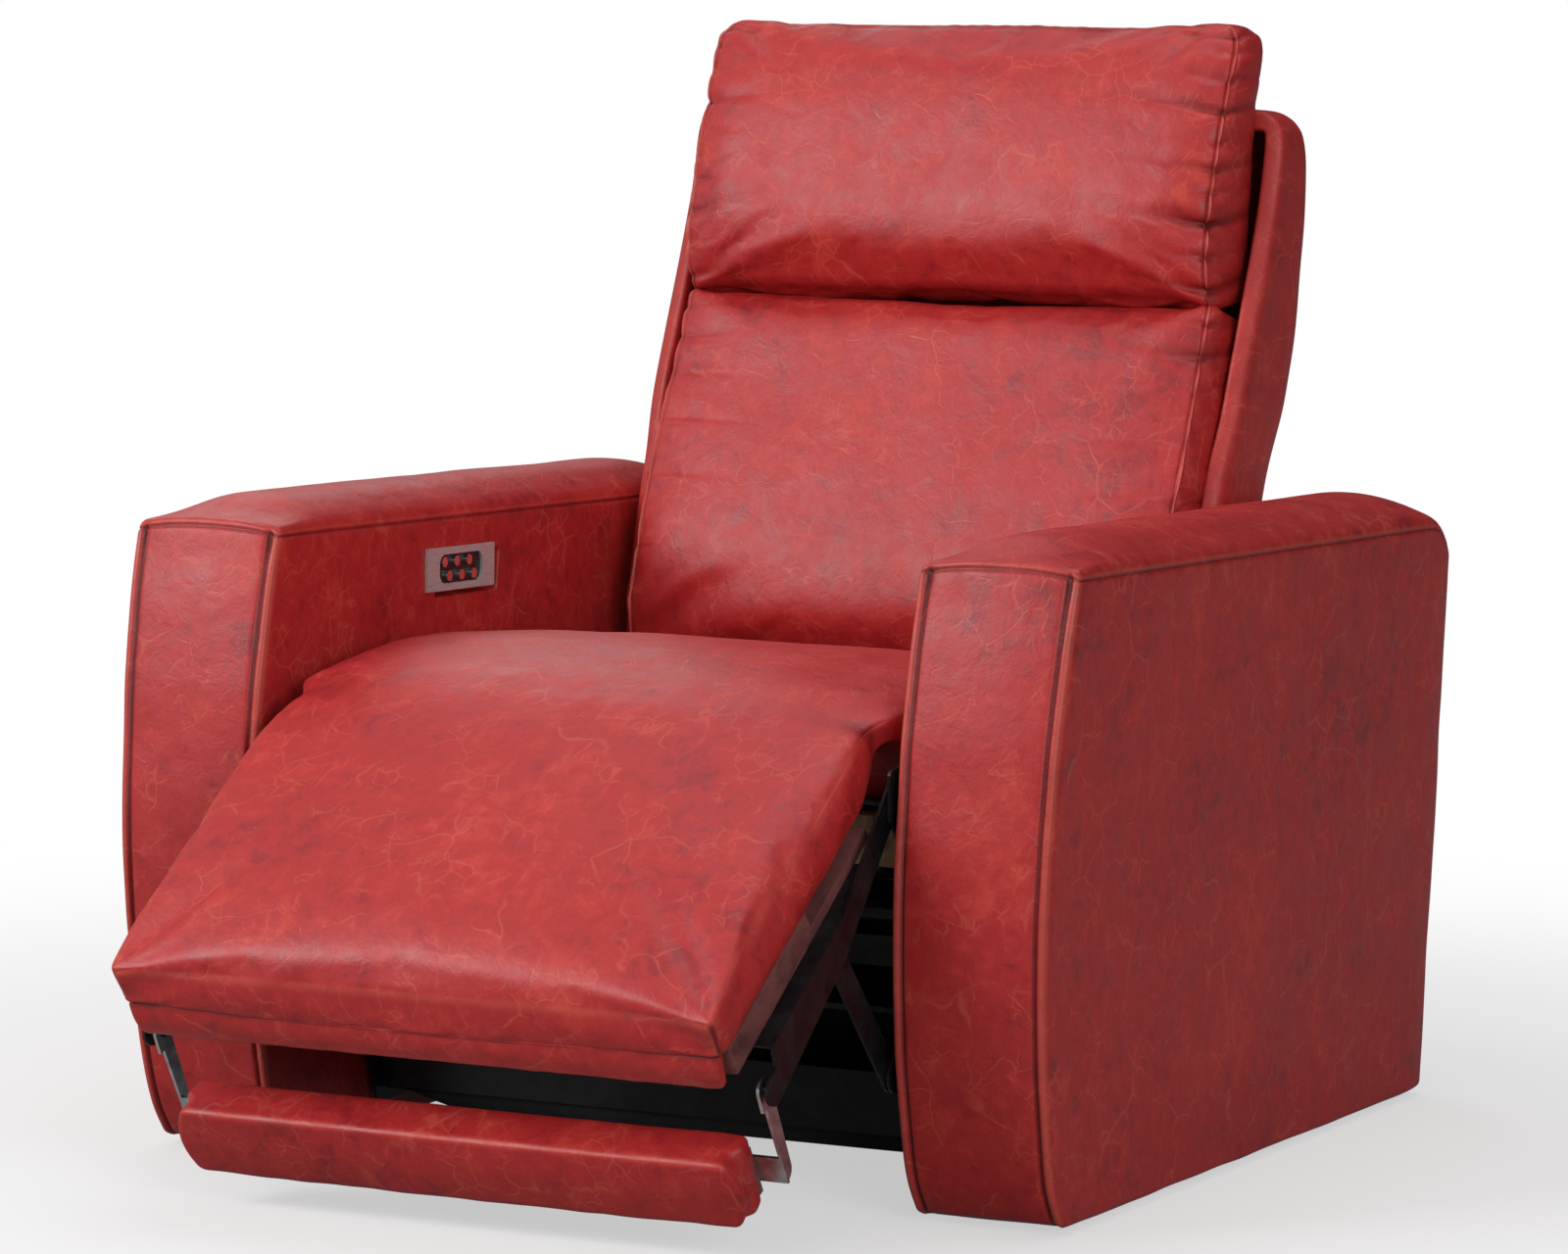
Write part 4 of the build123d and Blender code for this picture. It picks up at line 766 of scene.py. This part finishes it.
def back_shell():
    size = (0.656, 0.110, 0.640)
    across = stations(size[0], 0.016, (), 0.034)
    piece, share = gridded_block("back_shell_leather", across, stations(size[1], 0.012, (), 0.030),
                                 stations(size[2], 0.016, (), 0.034))
    source = share * np.array(size)
    rolled = rolled_edges(source, size, (0.036, 0.010, 0.004), (0.036, 0.034, 0.040))
    u, v, t = (rolled / np.array(size)).T
    yz = smooth_line(shell_front, t) + v[:, None] * (smooth_line(shell_rear, t) - smooth_line(shell_front, t))
    half = 0.3325 + 0.0055 * ease((yz[:, 1] - 0.62) / 0.08)
    points = np.column_stack(((2.0 * u - 1.0) * half, yz[:, 0] + front_of_arms, yz[:, 1]))
    set_points(piece, points)
    on_rear = source[:, 1] > size[1] - 0.001
    face_outwards(piece)
    normal = normals_of(piece)
    start = points_of(piece)
    seam = on_rear * dip(np.minimum(source[:, 0], size[0] - source[:, 0]) - 0.050, 0.004)
    lift = 0.0018 * drifting(start, 6.0, 21.0) + 0.0008 * drifting(start, 18.0, 14.0) - 0.0022 * seam
    set_points(piece, start + normal * lift[:, None])
    # painted shade: darker along the sunk seams on the rear
    mark(piece, "painted_shade", 0.7 * seam)
    mark(piece, "rub", 0.2 * (source[:, 1] < 0.012))
    bpy.context.view_layer.objects.active = piece
    bpy.ops.object.mode_set(mode="EDIT")
    bpy.ops.mesh.select_mode(type="FACE")
    grid = bmesh.from_edit_mesh(piece.data)
    grid.verts.ensure_lookup_table()
    open_side = set(np.flatnonzero((source[:, 1] < 0.001) & (source[:, 0] > 0.013) & (source[:, 0] < size[0] - 0.013)
                                   & (source[:, 2] < size[2] - 0.010)).tolist())
    open_foot = set(np.flatnonzero(source[:, 2] < 0.001).tolist())
    for face in grid.faces:
        own = {vert.index for vert in face.verts}
        face.select = len(own & open_side) == len(own) or own <= open_foot
    bmesh.update_edit_mesh(piece.data)
    bpy.ops.mesh.delete(type="FACE")
    bpy.ops.object.mode_set(mode="OBJECT")
    wall = piece.modifiers.new("padded_wall", "SOLIDIFY")
    wall.thickness = 0.013
    wall.offset = -1.0
    bpy.ops.object.modifier_apply(modifier=wall.name)
    finish_hide(piece)
    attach(piece, "backrest")
    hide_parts("back_shell")
    return piece


shell = back_shell()



# Cloth over the legrest board, and a black sheet under the chair that stands in for the shade there
def pad_point(reach, lift):
    pitch = math.radians(36.0)
    return (0.030 - reach * math.cos(pitch) - lift * math.sin(pitch),
            0.405 - reach * math.sin(pitch) + lift * math.cos(pitch))


def board_cover():
    size = (0.624, 0.180, 0.0335)
    piece, share = gridded_block("legrest_board_cloth", stations(size[0], 0.020, (), 0.006),
                                 stations(size[1], 0.012, (), 0.006), stations(size[2], 0.006, (), 0.006))
    rolled = rolled_edges(share * np.array(size), size, (0.004, 0.004, 0.004), (0.004, 0.004, 0.004))
    u, v, t = (rolled / np.array(size)).T
    y, z = pad_point(0.170 + v * size[1], -0.0245 + t * size[2])
    set_points(piece, np.column_stack(((2.0 * u - 1.0) * 0.312, y + front_of_arms, z)))
    face_outwards(piece)
    start = points_of(piece)
    waves = 0.0010 * drifting(start, 26.0, 8.0) + 0.0005 * drifting(start, 70.0, 1.0)
    set_points(piece, start + normals_of(piece) * waves[:, None])
    finish_hide(piece, 1, board_cloth)
    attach(piece, "footrest")
    return piece


def under_chair_shade_cloth():
    # a black cloth under the two beams and turned up between the backs of the arms, painted shade standing in for the
    # dark under the chair
    length, turn_at, hem = 0.860, 0.592, 0.014
    bpy.ops.object.select_all(action="DESELECT")
    bpy.ops.mesh.primitive_grid_add(x_subdivisions=46, y_subdivisions=64, size=1.0, location=(0.0, 0.0, 0.0))
    piece = bpy.context.object
    piece.name = piece.data.name = "under_chair_shade_cloth"
    flat = points_of(piece)
    along = (flat[:, 1] + 0.5) * length
    rows = np.linspace(0.0, length, 600)
    slope = (1.0 + np.clip((rows - turn_at) / 0.03, 0.0, 1.0) - np.clip((rows - 0.010) / 0.008, 0.0, 1.0)) * math.pi / 2.0
    y = 0.2085 + np.interp(along, rows, np.cumsum(np.cos(slope)) * rows[1])
    z = 0.0440 - hem + np.interp(along, rows, np.cumsum(np.sin(slope)) * rows[1])
    z = np.where(along < 0.03, 0.0440 - (0.0440 - z) * ease((0.31 - 0.66 * np.abs(flat[:, 0])) / 0.06), z)
    half = 0.3290 + 0.0150 * ease((along - 0.556) / 0.03)
    slack = 0.006 * (1.0 - (2.0 * flat[:, 0]) ** 2) * (1.0 - dip(along - 0.02, 0.06)) * (1.0 - dip(along - 0.325, 0.05))
    points = np.column_stack((2.0 * flat[:, 0] * half, y + front_of_arms, z))
    waves = 0.0016 * (1.0 + drifting(points, 11.0, 4.0)) * (1.0 - dip(along - 0.02, 0.05)) * (1.0 - dip(along - 0.325, 0.03))
    points[:, 2] -= (slack + waves) * (along < turn_at)
    points[:, 1] -= waves * (along > turn_at)
    set_points(piece, points)
    bpy.ops.object.shade_smooth()
    piece.data.materials.append(shade_black_cloth)
    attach(piece, "chair_base")
    return piece


board_cover()
under_chair_shade_cloth()

# Floor
bpy.ops.mesh.primitive_plane_add(size=30.0, location=(0.0, 0.0, -0.0005))
floor = bpy.context.object
floor.name = "studio_floor"
floor_paint, tree, skin = new_shader("pale_floor_paint")
skin.inputs["Roughness"].default_value = 0.8
bright = put(tree, "Emission", Color=(1.0, 1.0, 1.0, 1.0), Strength=1.0)
seen = put(tree, "LightPath")
indirect = maths(tree, "MAXIMUM", seen.outputs["Is Diffuse Ray"], seen.outputs["Is Glossy Ray"])
tree.links.new(mix_colour(tree, indirect, grey(0.86), grey(0.26)), skin.inputs["Base Color"])
at = put(tree, "TexCoord").outputs["Object"]
away = put(tree, "VectorMath", {"operation": "LENGTH"}, _0=at).outputs["Value"]
fade = ramp(tree, maths(tree, "DIVIDE", away, 4.0), ((0.18, grey(0.55)), (0.55, grey(1.0))), "EASE")
mirrored = maths(tree, "MULTIPLY", seen.outputs["Is Glossy Ray"], 0.15)
shown = maths(tree, "MAXIMUM", seen.outputs["Is Camera Ray"],
              maths(tree, "MAXIMUM", mirrored, seen.outputs["Is Transmission Ray"]))
blend_floor = put(tree, "MixShader", Fac=maths(tree, "MULTIPLY", fade, shown), _1=skin.outputs[0], _2=bright.outputs[0])
tree.links.new(blend_floor.outputs[0], [n for n in tree.nodes if n.type == "OUTPUT_MATERIAL"][0].inputs[0])
floor.data.materials.append(floor_paint)

world = bpy.data.worlds.new("studio_air")
scene.world = world
world.use_nodes = True
tree = world.node_tree
tree.nodes.clear()
out = tree.nodes.new("ShaderNodeOutputWorld")
seen = put(tree, "LightPath")
# mirrored in the object, the white room is brightest on the window's side
at = put(tree, "TexCoord").outputs["Generated"]
towards = put(tree, "VectorMath", {"operation": "DOT_PRODUCT"}, _0=at, _1=(-0.57, -0.57, 0.59)).outputs["Value"]
lit = ramp(tree, towards, ((0.0, grey(0.05)), (0.9, grey(0.75))), "EASE")
strength = maths(tree, "MULTIPLY_ADD", maths(tree, "SUBTRACT", lit, 0.25), seen.outputs["Is Glossy Ray"], 0.25)
shown = maths(tree, "MAXIMUM", seen.outputs["Is Camera Ray"], seen.outputs["Is Transmission Ray"])
air = put(tree, "Background", Color=(1.0, 1.0, 1.0, 1.0), Strength=maths(tree, "MAXIMUM", shown, strength))
tree.links.new(air.outputs[0], out.inputs[0])
